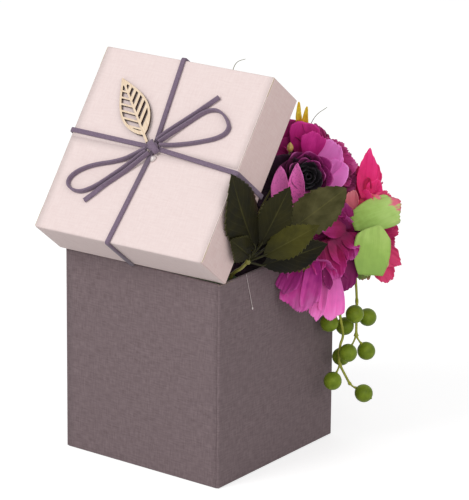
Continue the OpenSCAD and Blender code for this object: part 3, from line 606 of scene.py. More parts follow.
def wallSection(depth, wall, footRound, footZ, footIn):
    # inset from the outer face and height, from inside the rim over the edge and down to the closed end
    r, turnIn = cover["rim"], paper["turnIn"]
    section = [(wall, depth - turnIn), (wall, depth - turnIn / 2), (wall, depth - r - 0.05)]
    rimArc, footArc = ([math.radians(90 * k / n) for k in range(n + 1)] for n in (5, 6))
    section += [(wall - r + r * math.cos(a), depth - r + r * math.sin(a)) for a in rimArc]
    section += [(r - r * math.sin(a), depth - r + r * math.cos(a)) for a in rimArc]
    steps = max(2, int((depth - footZ) / 6))
    section += [(0, depth - r + (footZ + footRound - depth + r) * k / steps) for k in range(1, steps)]
    section += [(footRound - footRound * math.cos(a), footZ + footRound - footRound * math.sin(a))
                for a in footArc]
    return section + [(footRound + (footIn - footRound) * k / 3, footZ) for k in range(1, 4)]


def layDown(heap, kind, flipped, course, section, place, cloth):
    # carries the section along the course; cloth is each point's place on the flat sheet
    points = [cartonPoint(kind, *place(step, inset), z) for step in course for inset, z in section]
    faces = gridFaces(len(course), len(section))
    heap.add(points, [f[::-1] for f in faces] if flipped == (kind == "box") else faces, cloth=cloth)


def sideSheet(heap, kind, end, side, section):
    # one side wall's sheet, turned round both upright edges
    x, y, r, tab = side / 2, side / 2 - paper["wrap"], cover["edge"], paper["tab"]
    course = [(x - tab, -y), (x - tab / 2, -y), (x - 3, -y)]
    course += [(x - r + r * math.sin(math.radians(15 * k)), -y + r - r * math.cos(math.radians(15 * k)))
               for k in range(7)]
    mirrored = [(px, -py) for px, py in course[::-1]]
    course += [(x, -y + r + (2 * y - 2 * r) * k / 20) for k in range(1, 20)] + mirrored
    cloth = [(s, t, 3.0 * end) for s in runningLength(course) for t in runningLength(section)]
    layDown(heap, kind, end < 0, course, section,
            lambda p, inset: (end * min(p[0], x - inset), max(inset - y, min(p[1], y - inset))), cloth)


def faceSheet(heap, kind, end, side, section):
    reach = side / 2 - paper[kind + "Seam"]
    course = np.linspace(-reach, reach, 22)
    cloth = [(x, t * end, 5.0) for x in course for t in runningLength(section)]
    layDown(heap, kind, end > 0, course, section, lambda x, inset: (x, end * (side / 2 - inset)), cloth)


def coverCarton(kind, facts, depth, nodes, materials, slot):
    side, foot, wrap = facts["side"], facts.get("foot", 0.0), paper["wrap"]
    footRound = cover["foot"] if kind == "box" else cover["edge"]
    stack = facts["board"] + 2 * wrap + paper["stay"]
    sideSection = wallSection(depth - wrap, stack, footRound, foot + wrap, paper["footTurn"])
    faceSection = wallSection(depth, stack + 2 * wrap, footRound, foot,
                              paper["footTurn"] if kind == "box" else side / 2)
    if kind == "lid":       # the face sheets meet in the middle of the top
        faceSection = faceSection[:-3] + [(side / 2 * k / 10, 0) for k in range(1, 11)]
    for k, (word, sheet, section) in enumerate((("Sides", sideSheet, sideSection),
                                                ("Faces", faceSheet, faceSection))):
        heap = Heap()
        for end in (-1, 1):
            sheet(heap, kind, end, side, section)
        heap.piece(kind + "Cover" + word, materials[k], kind, slot, [nodes[k]], thickness=wrap, offset=-1)


coverCarton("box", box, box["height"], ("base_wrap_sides", "base_wrap_faces"), (greyCloth, greyCloth),
            "grey_cloth_paper")
coverCarton("lid", lid, lid["depth"], ("lid_wrap_sides", "lid_wrap_cover"), (creamClothPaintedShade, creamCloth),
            "cream_cloth_paper")
print("covering ready")

# petals: each is a pressed cloth sheet laid from its base to its tip, its upper face turned one way
pressed = {"rows": 19, "notch": 1.5, "rimWave": 0.035, "narrowing": 0.25, "baseCup": 0.35, "baseWidth": 0.4,
           "ripple": 0.5}


def petalSheet(base, tip, width, face, bow, cup, ruffle, teeth, seed, neck=0.3, peak=0.62, rounding=0.3,
               point=0.0):
    rows, cols = pressed["rows"], max(25, 4 * int(teeth) + 1)
    base, tip = np.asarray(base, float), np.asarray(tip, float)
    length = np.linalg.norm(tip - base)
    ahead = (tip - base) / length
    face = np.asarray(face, float)
    up = unit(face - np.dot(face, ahead) * ahead)
    side = np.cross(up, ahead)
    u, t = np.meshgrid(np.linspace(-1, 1, cols), np.linspace(0, 1, rows))
    wild = random.Random(seed)
    shifts = [wild.random() for _ in range(6)]
    reach = 1 - rounding * np.abs(u) ** 2.3 - point * np.abs(u) ** 1.1
    if teeth:
        notch = np.abs(((u + 1) / 2 * teeth + shifts[0]) % 1 - 0.5) * 2
        uneven = 0.6 + 0.4 * np.sin(9 * u + 6 * shifts[1])
        reach = reach - notch * uneven * pressed["notch"] / length
    reach = reach + pressed["rimWave"] * np.sin(4.2 * u + 6 * shifts[2])
    s = t * reach
    rise = np.clip(s / peak, 0, 1)
    half = width / 2 * (neck + (1 - neck) * np.sin(math.pi / 2 * rise) ** 0.9)
    half = half * (1 - pressed["narrowing"] * np.clip((s - peak) / (1 - peak), 0, 1) ** 2)
    opened = pressed["baseCup"] + (1 - pressed["baseCup"]) * rise
    bend = np.maximum(math.radians(cup) * opened, 0.02)
    lateral = half * np.sin(bend * u) / bend
    lift = half * (1 - np.cos(bend * u)) / bend - 2 * bow * length * s * (1 - s)
    waves = (0.6 * np.sin(2 * math.pi * (0.9 * u + shifts[3]))
             + 0.4 * np.sin(2 * math.pi * (2.3 * u + shifts[4])) * t
             + 0.25 * np.sin(2 * math.pi * (4.1 * u + shifts[5])) * t ** 3)
    lift = lift + ruffle * t ** 2 * waves * (0.35 + 0.65 * np.abs(u))
    lift = lift + pressed["ripple"] * np.sin(5 * s + 6 * shifts[1]) * np.cos(3 * u + 6 * shifts[2]) * t
    points = base + (length * s)[..., None] * ahead + lateral[..., None] * side + lift[..., None] * up
    faces = [f[::-1] for f in gridFaces(rows, cols)]
    across = u * (pressed["baseWidth"] + (1 - pressed["baseWidth"]) * rise)
    return points.reshape(-1, 3), faces, {"along": s.ravel(), "across": across.ravel()}


def addPetal(heap, petal, seed, **shape):
    base, tip, width, face, bow, cup, ruffle, teeth, tone, *point = petal
    if point:
        shape["point"] = point[0]
    points, faces, marks = petalSheet(base, tip, width, face, bow, cup, ruffle, teeth, seed, **shape)
    heap.add(inBouquet(points), faces, tone=tone, **marks)


def addWhorl(heap, centre, axis, rows, seed, **shape):
    # rows of petals round an axis: azimuth, length, width, openness, lift and tone (partly painted light and
    # shade), then the sheet's own
    frameAxes = axesFor(axis, (1, 0, 0) if abs(unit(axis)[0]) < 0.9 else (0, 1, 0))
    centre = np.asarray(centre, float)
    for k, (azimuth, length, width, opened, lift, tone, bow, cup, ruffle, teeth) in enumerate(rows):
        a, o = math.radians(azimuth), math.radians(opened)
        out = math.cos(a) * frameAxes[0] + math.sin(a) * frameAxes[1]
        way = math.cos(o) * frameAxes[2] + math.sin(o) * out
        face = math.sin(o) * frameAxes[2] - math.cos(o) * out
        base = centre + frameAxes[2] * lift + out * 0.8
        petal = (base, base + way * length, width, face, bow, cup, ruffle, teeth, tone)
        addPetal(heap, petal, seed + k, **shape)


def whorl(start, count, length, width, opened, lift, tone, bow=0.12, cup=35, ruffle=1.0, teeth=0, spread=9):
    wild = random.Random(int(start * 7 + count + length))
    return [(start + 360 / count * k + wild.uniform(-spread, spread), length * wild.uniform(0.92, 1.06), width,
             opened + wild.uniform(-7, 7), lift, min(1, max(0, tone + wild.uniform(-0.2, 0.2))), bow, cup,
             ruffle, teeth) for k in range(count)]


ranunculus = {
    "centre": (-18.6, 27.6, -5), "axis": (0.12, 0.02, 0.99),
    "ring": [(80, 21, 21, 50, 0, 0.5, 0.14, 46, 0.7, 0), (35, 22, 20, 54, 0.4, 0.8, 0.14, 46, 0.7, 0),
             (-5, 21, 20, 52, 0.2, 0.7, 0.14, 46, 0.7, 0), (125, 22, 21, 52, 0.4, 0.1, 0.14, 46, 0.7, 0),
             (165, 24, 21, 54, 0.2, 0.0, 0.14, 46, 0.7, 0), (-50, 20, 20, 48, 0.4, 0.4, 0.14, 46, 0.6, 0),
             (105, 19, 17, 38, 1.2, 0.2, 0.14, 52, 0.5, 0), (60, 18, 17, 38, 1.4, 0.4, 0.14, 52, 0.5, 0),
             (10, 18, 17, 38, 1.2, 0.3, 0.14, 52, 0.5, 0), (150, 20, 18, 40, 1.4, 0.0, 0.14, 52, 0.5, 0),
             (200, 19, 18, 34, 1.2, 0.0, 0.14, 52, 0.5, 0), (250, 18, 18, 34, 1.2, 0.2, 0.14, 52, 0.5, 0)],
}
ranunculus["heart"] = (whorl(20, 6, 16, 14, 33, 2.4, 0.5, 0.16, 58, 0.4, 0, 6)
                       + whorl(50, 5, 14, 12.5, 18, 3.0, 0.3, 0.18, 70, 0.3, 0, 6)
                       + whorl(10, 4, 12, 9, 4, 3.4, 0.2, 0.2, 78, 0.3, 0, 6))

# base, tip, width, facing, bow, cup, ruffle, teeth, tone (partly dye, partly painted light and shade) and, if
# its tip is drawn out, by how much
laid = {
    # dark sheets laid only to fill places that lie in deep shade: painted shade
    "shade": [
        ((-24.9, 7.3, -14), (-47.9, 25.2, -10), 30, (-0.3, 0.2, 1), 0.08, 30, 0.8, 0, 0),
        ((-24.9, 7.3, -14), (-58, 7.6, -12), 26, (-0.3, 0, 1), 0.08, 26, 0.8, 0, 0),
        ((-23.6, 12.5, -4), (-35.7, 43.4, 5), 26, (-0.3, 0.2, 1), 0.08, 30, 0.8, 0, 0.1),
        ((-24.9, 2.9, -14), (-38.9, -11.8, -8), 26, (-0.2, -0.2, 1), 0.08, 30, 0.8, 0, 0),
        ((-19.8, 25.2, -16), (-5.2, 9.3, -15), 26, (0.1, -0.2, 1), 0.08, 30, 0.8, 0, 0.3),
        ((-13.4, 25.2, -18), (3.6, 11.3, -17), 20, (0.2, -0.2, 1), 0.08, 30, 0.8, 0, 0.6),
        ((-32, -27, -12), (-68, -34.5, -14), 22, (0, 0.4, 1), 0.08, 20, 1, 0, 0.2),
    ],
    "crescents": [
        ((-32.6, 2.2, 2), (-34.4, 36.4, 13), 14, (-0.35, 0.1, 0.9), -0.12, 40, 0.4, 0, 1),
        ((-22.6, 4.2, 6), (-23.2, 37.7, 15), 13, (-0.35, 0.2, 0.9), -0.1, 40, 0.4, 0, 0.85),
    ],
    "outer": [
        ((-10.9, 30.3, -10), (2.5, 52.1, -2), 26, (-0.1, 0.2, 1), 0.12, 36, 1.1, 9, 0.9),
        ((-9.6, 27.8, -7), (11.2, 32.2, -2), 21, (0.05, 0.1, 1), 0.12, 36, 0.8, 0, 1),
        ((-12.1, 26.5, -12), (5.7, 21.4, -8), 20, (0.3, -0.2, 1), 0.1, 35, 0.8, 0, 0.5),
        ((-13.4, 29, -12), (-10.9, 49.5, -8), 20, (0, 0.2, 1), 0.12, 35, 0.8, 0, 0.2),
    ],
    "upper": [
        ((-25.6, 44.4, -20), (-28.5, 67.5, -8), 21, (-0.35, -0.1, 1), 0.12, 28, 0.5, 0, 0.3),
        ((-20.4, 43.1, -14), (-17.5, 65, -4), 21, (-0.05, -0.1, 1), 0.1, 26, 0.5, 0, 0.5),
        ((-15.6, 41, -6), (-11.4, 58, 2), 17, (0.1, -0.05, 1), 0.08, 22, 0.7, 8, 0.55),
        ((-23, 43.1, -24), (-38.2, 44.4, -13), 22, (-0.3, 0.2, 1), 0.1, 35, 0.7, 0, 0),
        ((-23.6, 43.1, -20), (-30.6, 55.2, -12), 18, (-0.4, 0.1, 1), 0.1, 40, 0.6, 0, 0.1),
        ((-17.2, 41.8, -24), (-8.3, 52.7, -18), 16, (0.2, 0.1, 1), 0.1, 35, 0.8, 0, 0.5),
    ],
    "carnation": [
        ((-7, 46.9, -34), (-11.8, 62.3, -30), 12, (0, -0.3, 1), 0.1, 25, 1.8, 7, 0.35),
        ((-5.7, 46.9, -33), (-7, 60.8, -28), 11, (0, -0.3, 1), 0.1, 25, 1.8, 7, 0.15),
        ((-4.5, 44.4, -32), (-3.8, 55.8, -28), 14, (0.1, -0.3, 1), 0.1, 25, 1.8, 7, 0.55),
        ((-1.9, 43.1, -28), (6.1, 52.7, -20), 16, (0.1, -0.2, 1), 0.1, 25, 1.4, 7, 0.66),
        ((0.6, 40.5, -27), (11.2, 46.3, -18), 16, (0.2, -0.1, 1), 0.1, 25, 1.4, 7, 0.62),
        ((1.9, 34.1, -24), (16.7, 38.6, -16), 16, (0.2, 0, 1), 0.1, 25, 1.4, 8, 0.5),
        ((4.5, 31.6, -24), (16.6, 31.6, -19), 13, (0.2, 0, 1), 0.1, 25, 2, 8, 0.15),
        ((4.5, 29, -22), (17.5, 25.9, -18), 13, (0.2, 0.1, 1), 0.1, 25, 2, 8, 0),
        ((4.5, 27.8, -22), (15.9, 20.1, -18), 13, (0.1, 0.2, 1), 0.1, 25, 2, 8, 0.1),
        ((5.7, 31.6, -20), (12.8, 28.4, -14), 9, (0.2, 0.1, 1), 0.1, 40, 1.6, 6, 0),
        ((5.7, 27.8, -19), (12.1, 22.7, -13), 9, (0.2, 0.2, 1), 0.1, 40, 1.6, 6, 0.3),
        ((4.5, 25, -24), (12.4, 8.6, -22), 15, (0.1, 0.2, 1), 0.1, 25, 1.8, 8, 0.1),
        ((-6, 47, -30), (-11, 64.4, -24), 10, (0, -0.3, 1), 0.1, 25, 1.8, 7, 0.25),
    ],
    "pink": [
        ((22.6, 13.5, -17), (26, 49.2, -14), 18, (-0.1, 0, 1), 0.1, 30, 1.8, 8, 0.7, 0.42),
        ((24.2, 12.5, -20), (31.9, 26.5, -16), 12, (0.1, 0.1, 1), 0.1, 30, 1, 4, 0.9),
        ((23.6, 13.7, -22), (28.8, 38, -19), 15, (0.2, 0, 1), 0.1, 30, 1, 6, 0.8),
        ((20.4, 13.7, -24), (17.9, 36.7, -20), 12, (-0.1, 0.2, 1), 0.1, 35, 1.2, 6, 0.7),
        ((25.5, 15, -30), (29.7, 31.6, -30), 9, (0.2, -0.1, 1), 0.05, 25, 1.4, 6, 0.8),
        ((23.9, 15, -18), (24.2, 28.4, -16), 6, (0, 0.2, 1), 0.1, 60, 0.8, 6, 0),
        ((19.8, 11.2, -20), (26.8, 16.9, -13), 13, (0.1, 0.3, 1), 0.1, 30, 1, 5, 1),
    ],
    "coral": [
        ((12.8, 3.5, -18), (14, 19.8, -11), 9.5, (-0.1, 0.2, 1), 0.1, 30, 0.8, 5, 0.9),
        ((15.9, 9.3, -20), (32.5, 15, -13), 9, (0.1, 0.3, 1), 0.1, 30, 0.8, 5, 0.5),
    ],
    "greenBack": [
        ((13.1, -2.5, -7), (46.3, 9.9, -13), 25.5, (0.12, -0.25, -1), 0.1, 40, 1, 9, 0.45),
        ((20.8, -8.3, -4), (29.5, -38.4, -9), 23, (0.15, 0.15, -1), 0.12, 42, 0.9, 9, 0.5),
        ((15.9, -10.2, -14), (22.7, -41.6, -16), 13, (-0.2, 0.2, -1), 0.12, 40, 0.7, 6, 0),
    ],
    "greenFold": [
        ((25.4, -37.6, -4), (28, -4.4, 1), 25, (0.1, 0.1, 1), 0.1, -34, 1.3, 0, 0.5),
    ],
    "greenFace": [
        ((31.3, 6.1, -20), (37.6, 18.8, -19), 15, (0.2, -0.2, 1), 0.05, 25, 1.6, 9, 1),
        ((26.1, 0.9, -22), (46.1, 0, -23), 17, (0.3, 0.1, 1), 0.05, 25, 2, 8, 0.35),
        ((26.1, -3.4, -22), (45.3, -8.5, -23), 17, (0.3, 0.1, 1), 0.05, 25, 2, 8, 0.3),
        ((26.1, -7.6, -24), (43.2, -17, -25), 15, (0.3, 0.1, 1), 0.05, 25, 2, 8, 0.2),
        ((27, -16.1, -14), (45.6, -31.2, -14), 15, (0.2, 0.2, 1), 0.05, 25, 1.8, 9, 1),
        ((25.3, -19.5, -14), (39.4, -42.6, -12), 16, (0.1, 0.3, 1), 0.05, 25, 1.8, 10, 1),
    ],
    "middle": [
        ((10.4, -6.8, -9), (7.4, 10.7, -6), 12, (0, 0.2, 1), 0.1, 35, 1.4, 6, 0.1),
        ((11, -6.8, -12), (13.4, 3, -14), 10, (0.1, 0.2, 1), 0.1, 30, 0.6, 6, 0.3),
        ((9.1, -5.9, -7), (0.6, 4.3, -5), 13, (-0.2, 0.2, 1), 0.1, 35, 1.4, 6, 0.05),
        ((9.1, -6.8, -4), (-7.7, -6.3, 2), 15, (-0.2, 0.2, 1), 0.1, 40, 1, 5, 0.35),
        ((5.4, -7.8, -4), (11.6, -28.7, 0), 18, (0.15, 0, 1), 0.1, 36, 1.4, 9, 0.3),
        ((6.6, -10.2, -5), (18.2, -18.6, -1.5), 13, (0.3, 0.1, 1), 0.1, 36, 1.2, 7, 0.35),
        ((-1.8, -13.8, 0), (9, -30.8, 3), 12, (0.1, 0, 1), 0.08, 30, 1, 9, 0.55),
        ((-4.1, -13.8, -1), (1.8, -41.2, 5), 21, (0, 0, 1), 0.1, 36, 1.4, 9, 0.45),
        ((-8.3, -18, 1), (-9.8, -37.3, 7), 11, (-0.3, 0.1, 1), 0.1, 40, 1.2, 8, 0.6),
        ((-11.3, -20.9, -2), (-17.2, -25.7, 2), 10, (-0.3, 0.1, 1), 0.1, 40, 1.2, 8, 0.55),
        ((-5.9, -32.8, 5), (-1.5, -46.7, 9), 6.5, (-0.1, 0, 1), 0.08, 45, 0.4, 0, 0),
        ((12, 1, -27), (21, 18, -27), 15, (0.1, 0.2, 1), 0.08, 30, 1.2, 7, 0.05),
        ((10.1, -22.1, -8), (7.5, -49.2, -5), 16, (0.2, 0, 1), 0.08, 30, 1.2, 7, 0),
        ((11.3, -23.3, -9), (13.1, -42.4, -8), 12, (0.2, 0, 1), 0.08, 30, 1.2, 7, 0.05),
    ],
    "low": [
        ((-16.1, -22.1, 2), (-23.2, -61.1, 10), 29, (-0.3, 0.25, 1), 0.1, 26, 1.3, 13, 0.22),
        ((-13.7, -23.3, 4), (-19, -61.1, 10.5), 9, (-0.1, -0.05, 1), 0.12, 30, 0.5, 5, 0.3),
        ((-22, -23.9, 2), (-33.3, -49.5, 9), 17, (-0.5, 0.2, 1), 0.1, 26, 1.1, 8, 0.0),
        ((-5.3, -35.2, 4), (-11.9, -67.3, 9), 12.5, (-0.35, 0.25, 1), 0.1, 40, 0.8, 7, 1),
        ((0, -35.2, 2), (-1.2, -67.1, 7), 19, (0.1, 0.25, 1), 0.1, 34, 1.0, 9, 0.9),
        ((-8.9, -26.3, -4), (-13.7, -56.7, -1), 20, (0, 0, 1), 0.05, 30, 0.8, 0, 0.1),
    ],
}
petalThick = 0.3
rolled = {"neck": 0.45, "rounding": 0.3}
smoothRim = {"neck": 0.4, "peak": 0.74, "rounding": 0.15}

# name, cloth, slot and node of each piece, its laid petals with their seed and shape, its whorl with its own
blooms = [
    ("ranunculusOuter", "ranunculus", "light_pink_petal", ["ranunculus_petals"],
     ("outer", 100, {"neck": 0.5, "rounding": 0.34}), None),
    ("ranunculusSpeckled", "speckled", "light_pink_petal", [],
     ("crescents", 110, {"neck": 0.75, "peak": 0.5, "rounding": 0.2, "point": 0.22}), None),
    ("ranunculusRing", "ranunculusInner", "plum_petal", [], None,
     (ranunculus["centre"], ranunculus["axis"], ranunculus["ring"], 120, rolled)),
    ("ranunculusHeart", "ranunculusHeart", "plum_petal", ["ranunculus_heart"], None,
     (ranunculus["centre"], ranunculus["axis"], ranunculus["heart"], 150, rolled)),
    ("paintedShadePetals", "shade", "plum_petal", [], ("shade", 170, {}), None),
    ("pinkBloomCoral", "coral", "hot_pink_petal", [], ("coral", 180, {}), None),
    ("upperBloomPetals", "upper", "magenta_petal", ["upper_bloom_petals"], ("upper", 230, smoothRim),
     ((-18.3, 48, -29), (-0.06, 0.5, 0.85), whorl(200, 5, 19, 20, 44, 0.0, 0.2), 200, {})),
    ("carnationPetals", "carnation", "crimson_petal", ["carnation_petals"], ("carnation", 280, {}),
     ((2, 36, -44), (0.19, 0.35, 0.92), whorl(0, 7, 15, 15, 66, 0.0, 0.2, 0.1, 25, 2.0, 7), 250, {})),
    ("pinkBloomPetals", "pink", "hot_pink_petal", ["pink_bloom_petals"], ("pink", 330, {}),
     ((24.5, 15, -35), (0.3, 0.95, -0.1), whorl(70, 4, 15, 12, 30, 0.3, 0.1, 0.1, 35, 1.6, 6), 300, {})),
    ("middleBloomPetals", "middle", "plum_petal", ["middle_bloom_petals"], ("middle", 380, {}),
     ((2, -10, -16), (0.1, -0.3, 0.95), whorl(0, 7, 18, 17, 66, 0.0, 0.1, 0.1, 28, 2.0, 7), 350, {})),
    ("lowBloomPetals", "low", "magenta_petal", ["low_bloom_petals"], ("low", 430, smoothRim),
     ((-14.6, -34, -4), (0.2, -0.5, 0.84), whorl(0, 6, 18, 18, 60, 0.0, 0.0, 0.12, 36, 1.0, 0), 400, {})),
    ("greenBloomFold", "greenFold", "green_petal", [],
     ("greenFold", 620, {"neck": 0.66, "peak": 0.5, "rounding": 0.26}), None),
    ("greenBloomFaces", "greenFace", "hot_pink_petal", [], ("greenFace", 640, {}), None),
]


def heapOfPetals(key, seed, shape, heap=None):
    heap = heap or Heap()
    for i, petal in enumerate(laid[key]):
        addPetal(heap, petal, seed + i, **shape)
    return heap


def makeBlooms():
    for name, cloth, slot, nodes, petals, around in blooms:
        heap = Heap()
        if around:
            centre, axis, rows, seed, shape = around
            addWhorl(heap, centre, axis, rows, seed, **shape)
        if petals:
            heapOfPetals(*petals, heap)
        heap.piece(name, satin[cloth], "box", slot, nodes, thickness=petalThick)
    # seen from behind: the backs are green, the faces pink
    heap = heapOfPetals("greenBack", 600, {"neck": 0.45, "peak": 0.68, "rounding": 0.16})
    green = heap.piece("greenBloomBacks", [satin["greenFace"], satin["greenBack"]], "box", "green_petal",
                       ["green_bloom_petals"], thickness=petalThick, offset=-1)
    backs = green.modifiers["thickness"]
    backs.material_offset = backs.material_offset_rim = 1


makeBlooms()
print("blooms ready")

# leaves on one spray: base, tip, facing, width and tone (painted light: low for leaves in shade, high for the
# lit waxy leaf), from the middle of the right rim
spray = {
    "leaves": [((8, -37.5, 20), (7, -63, 77), (1, 0, 0), 35, 0.06),
               ((7, -42, 16), (6, -62, 32), (1, -0.2, 0), 18, 0.1),
               ((9, -33, 21), (17, -12, 58), (0.7, -0.6, 0.2), 22, 0.12),
               ((14, -27, 22), (37, 24, 52), (0.5, -0.7, 0.5), 27, 0.95),
               ((14, -36, 16), (37, -6, 34), (0.5, -0.75, 0.45), 20, 0.5),
               ((11, -34, 8), (36, 5, 18), (0.5, -0.8, -0.2), 25, 0.0)],
    "stem": [(-14, -38, -58), (-14, -38, -20), (-9, -41, -3), (-4, -43, 3), (0, -42, 6), (4, -40, 11)],
    "full": (0.82, 0.78, 0.95, 1.3, 0.82, 0.95), "thick": 0.45, "teeth": 13, "curl": 40.0,
    "toothDepth": 1.7, "fold": 0.1, "veinDepth": 0.3, "wave": 0.9, "bend": 0.02, "ribDepth": 0.6,
    "stemRadius": 1.2, "petioleRadii": (0.95, 0.4), "petioleShare": 0.07,
    "knob": [(0, -2.2), (1.5, -1.8), (2.1, -0.4), (1.9, 1.2), (1.2, 2.4), (0, 2.8)],
}


def leafSheet(base, tip, face, width, seed, full):
    rows, cols = 79, 17
    base, tip = np.asarray(base, float), np.asarray(tip, float)
    length = np.linalg.norm(tip - base)
    ahead = (tip - base) / length
    up = unit(np.asarray(face, float) - np.dot(face, ahead) * ahead)
    side = np.cross(up, ahead)
    u, t = np.meshgrid(np.linspace(-1, 1, cols), np.linspace(0, 1, rows))
    wild = random.Random(seed)
    a, b = wild.random(), wild.random()
    saw = (t * spray["teeth"]) % 1
    half = width / 2 * np.sin(math.pi * t ** full) ** (1.0 if full < 1 else 0.8) + 0.15
    half = half + (0.45 - saw) * spray["toothDepth"] * np.sin(math.pi * t) ** 0.5 * np.abs(u) ** 6
    x = half * u
    vein = np.abs(np.sin((t * 9 - np.abs(u) * 1.6) * math.pi)) ** 0.6
    lift = -x * x / (2 * spray["curl"]) + spray["fold"] * np.abs(x)
    lift = lift - spray["veinDepth"] * (1 - vein) * np.abs(u) * (1 - u * u)
    lift = lift + spray["wave"] * np.sin(2.6 * math.pi * t + 6 * a) * np.abs(u) ** 2 * np.sin(math.pi * t)
    lift = lift - spray["bend"] * length * np.sin(math.pi * t) * (1 if b > 0.5 else -1)
    lift = lift - spray["ribDepth"] * np.exp(-(x / 0.5) ** 2) * (1 - t)
    points = base + (length * t)[..., None] * ahead + x[..., None] * side + lift[..., None] * up
    faces = [f[::-1] for f in gridFaces(rows, cols)]
    return points.reshape(-1, 3), faces, {"along": t.ravel(), "across": u.ravel()}


def makeSpray():
    leaves, petioles, stem = Heap(), Heap(), Heap()
    joint = np.array(spray["stem"][-1], float)
    for k, (base, tip, face, width, tone) in enumerate(spray["leaves"]):
        points, faces, marks = leafSheet(base, tip, face, width, 40 + k, spray["full"][k])
        leaves.add(onRim(points), faces, tone=tone, **marks)
        base, tip = np.array(base, float), np.array(tip, float)
        line = smoothLine([joint, base, base + spray["petioleShare"] * (tip - base)], 5)
        petioles.add(*sweepRound(onRim(line), np.linspace(*spray["petioleRadii"], len(line)), 8))
    stem.add(*sweepRound(stemLine(spray["stem"], 5), spray["stemRadius"], 10))
    knob, faces = turnedShape(spray["knob"], 14)
    stem.add(onRim(joint + knob), faces)
    leaves.piece("sprayLeaves", leafMaterial, "box", "dark_leaf", ["leaf_spray_leaves"],
                 thickness=spray["thick"])
    petioles.piece("sprayPetioles", petiolePlastic, "box", "dark_leaf")
    stem.piece("sprayStem", stemPlastic, "box", "stem_plastic", ["leaf_spray_stem"])


makeSpray()
print("leaves ready")

# berries on two hanging stalks: centre of each berry and the point that carries it
hanging = {
    "berry": 12.4, "stalk": 1.8, "swelling": 0.45, "sag": 0.35,
    "radii": (0.95, 0.75, 0.65, 0.62, 0.68, 0.9, 1.15),
    "a": [(-24, 51, -58), (-24, 51, -20), (-14, 56, 3), (-2, 60, 8), (11, 62, 4), (18, 62, -10), (20, 62, -28),
          (19, 65, -43), (19, 65, -59), (19, 65, -67)],
    "b": [(-12, 33, -58), (-12, 33, -20), (-9, 36, 1), (-1, 42, 6), (8, 47, 2), (14, 50, -14), (15, 52, -34),
          (15, 51, -48), (15, 55, -64), (15, 52, -71), (15, 51, -80), (15, 52, -85), (16, 60, -98),
          (16, 63, -102)],
    "places": [((23, 57, -48), (19, 65, -42)), ((19, 78, -57), (19, 65, -49)),
               ((11, 63, -61), (19, 65, -54)), ((10, 46, -54), (15, 51, -46)),
               ((24, 70, -78), (19, 65, -67)), ((23, 50, -74), (19, 65, -67)),
               ((11, 59, -82), (15, 51, -76)), ((17, 41, -93), (15, 52, -85)),
               ((26, 65, -107), (16, 63, -102))],
}


def makeBerries():
    stalks, fruit = Heap(), Heap()
    places = [(onRim(centre), onRim(joint)) for centre, joint in hanging["places"]]
    for key in ("a", "b"):
        line = stemLine(hanging[key], 8)
        radii = np.full(len(line), hanging["stalk"] / 2)
        for _, joint in places:     # a little swelling at each joint
            radii = radii + hanging["swelling"] * np.exp(-(np.linalg.norm(line - joint, axis=1) / 1.6) ** 2)
        stalks.add(*sweepRound(line, radii, 10))
    r = hanging["berry"] / 2
    skin = [(0, -r * 0.97), (0.5, -r * 0.99)]
    for k in range(1, 15):
        a = math.pi * k / 15
        skin.append((r * math.sin(a) * (1 - 0.04 * math.cos(a)), -r * math.cos(a) * (1.0 if k < 8 else 1.05)))
    skin += [(0.55, r * 1.075), (0.35, r * 1.13), (0, r * 1.15)]
    points, faces = turnedShape(skin, 32)
    for centre, joint in places:
        way = unit(centre - joint)
        fruit.add(centre + points @ axesFor(way, (1, 0.2, 0.1)), faces)
        reach = np.linalg.norm(centre - joint) - r
        line = np.array([joint + way * reach * t for t in np.linspace(0, 1.05, 7)])
        line[2:5, 2] -= hanging["sag"]
        stalks.add(*sweepRound(line, hanging["radii"], 10))
    fruit.piece("hangingBerries", berrySkin, "box", "berry_plastic", ["berries"])
    stalks.piece("berryStalks", stalkPlastic, "box", "stem_plastic", ["berry_stalks"])


makeBerries()

# stems: base of the bloom, the way it faces, where the stem enters the foam, bends between
stems = {
    "ranunculus": ((0, 32, 54), (0.6, -0.76, 0.24), (-22, 34), [(-18, 38, 10), (-12, 44, 36)]),
    "upper_bloom": ((-19, 54, 66), (0.25, -0.45, 0.86), (-36, 40), [(-32, 46, 10), (-26, 56, 36)]),
    "carnation": ((-7, 75, 53), (0.6, -0.5, 0.62), (-18, 48), [(-16, 52, 0), (-15, 72, 24)]),
    "pink_bloom": ((17, 80, 38), (0.1, 0.55, 0.83), (-12, 43), [(-11, 47, 4), (-3, 57, 17), (8, 67, 24)]),
    "green_bloom": ((22, 63, 10), (0.45, 0.87, -0.2), (-12, 22), [(-9, 32, 4), (2, 44, 11)]),
    "middle_bloom": ((19, 37, 19), (0.75, -0.55, -0.1), (-26, 20), [(-18, 30, 8), (-4, 42, 20)]),
    "low_bloom": ((15, 9, -6), (0.77, -0.2, -0.6), (-12, 4), [(-10, 8, 1), (-4, 11, 5)]),
}


bloomStem = {"radius": 1.5,
             "cup": [(0, -6.2), (1.9, -6), (2.6, -4.6), (3.6, -3), (4.3, -1.4), (4.4, -0.5), (0, -0.9)]}


def makeStems():
    cup, cupFaces = turnedShape(bloomStem["cup"], 20)
    for name, (base, way, entry, bends) in stems.items():
        base, way = np.array(base, float), unit(way)
        route = [(*entry, -58), (*entry, -20)] + bends + [tuple(base - 14 * way), tuple(base - 5 * way)]
        heap = Heap()
        heap.add(*sweepRound(stemLine(route, 6), bloomStem["radius"], 12))
        heap.add(onRim(base + cup @ axesFor(way, (0, 0.3, 1))), cupFaces)
        heap.piece(name.split("_")[0] + "Stem", stemPlastic, "box", "stem_plastic", [name + "_stem"])


makeStems()

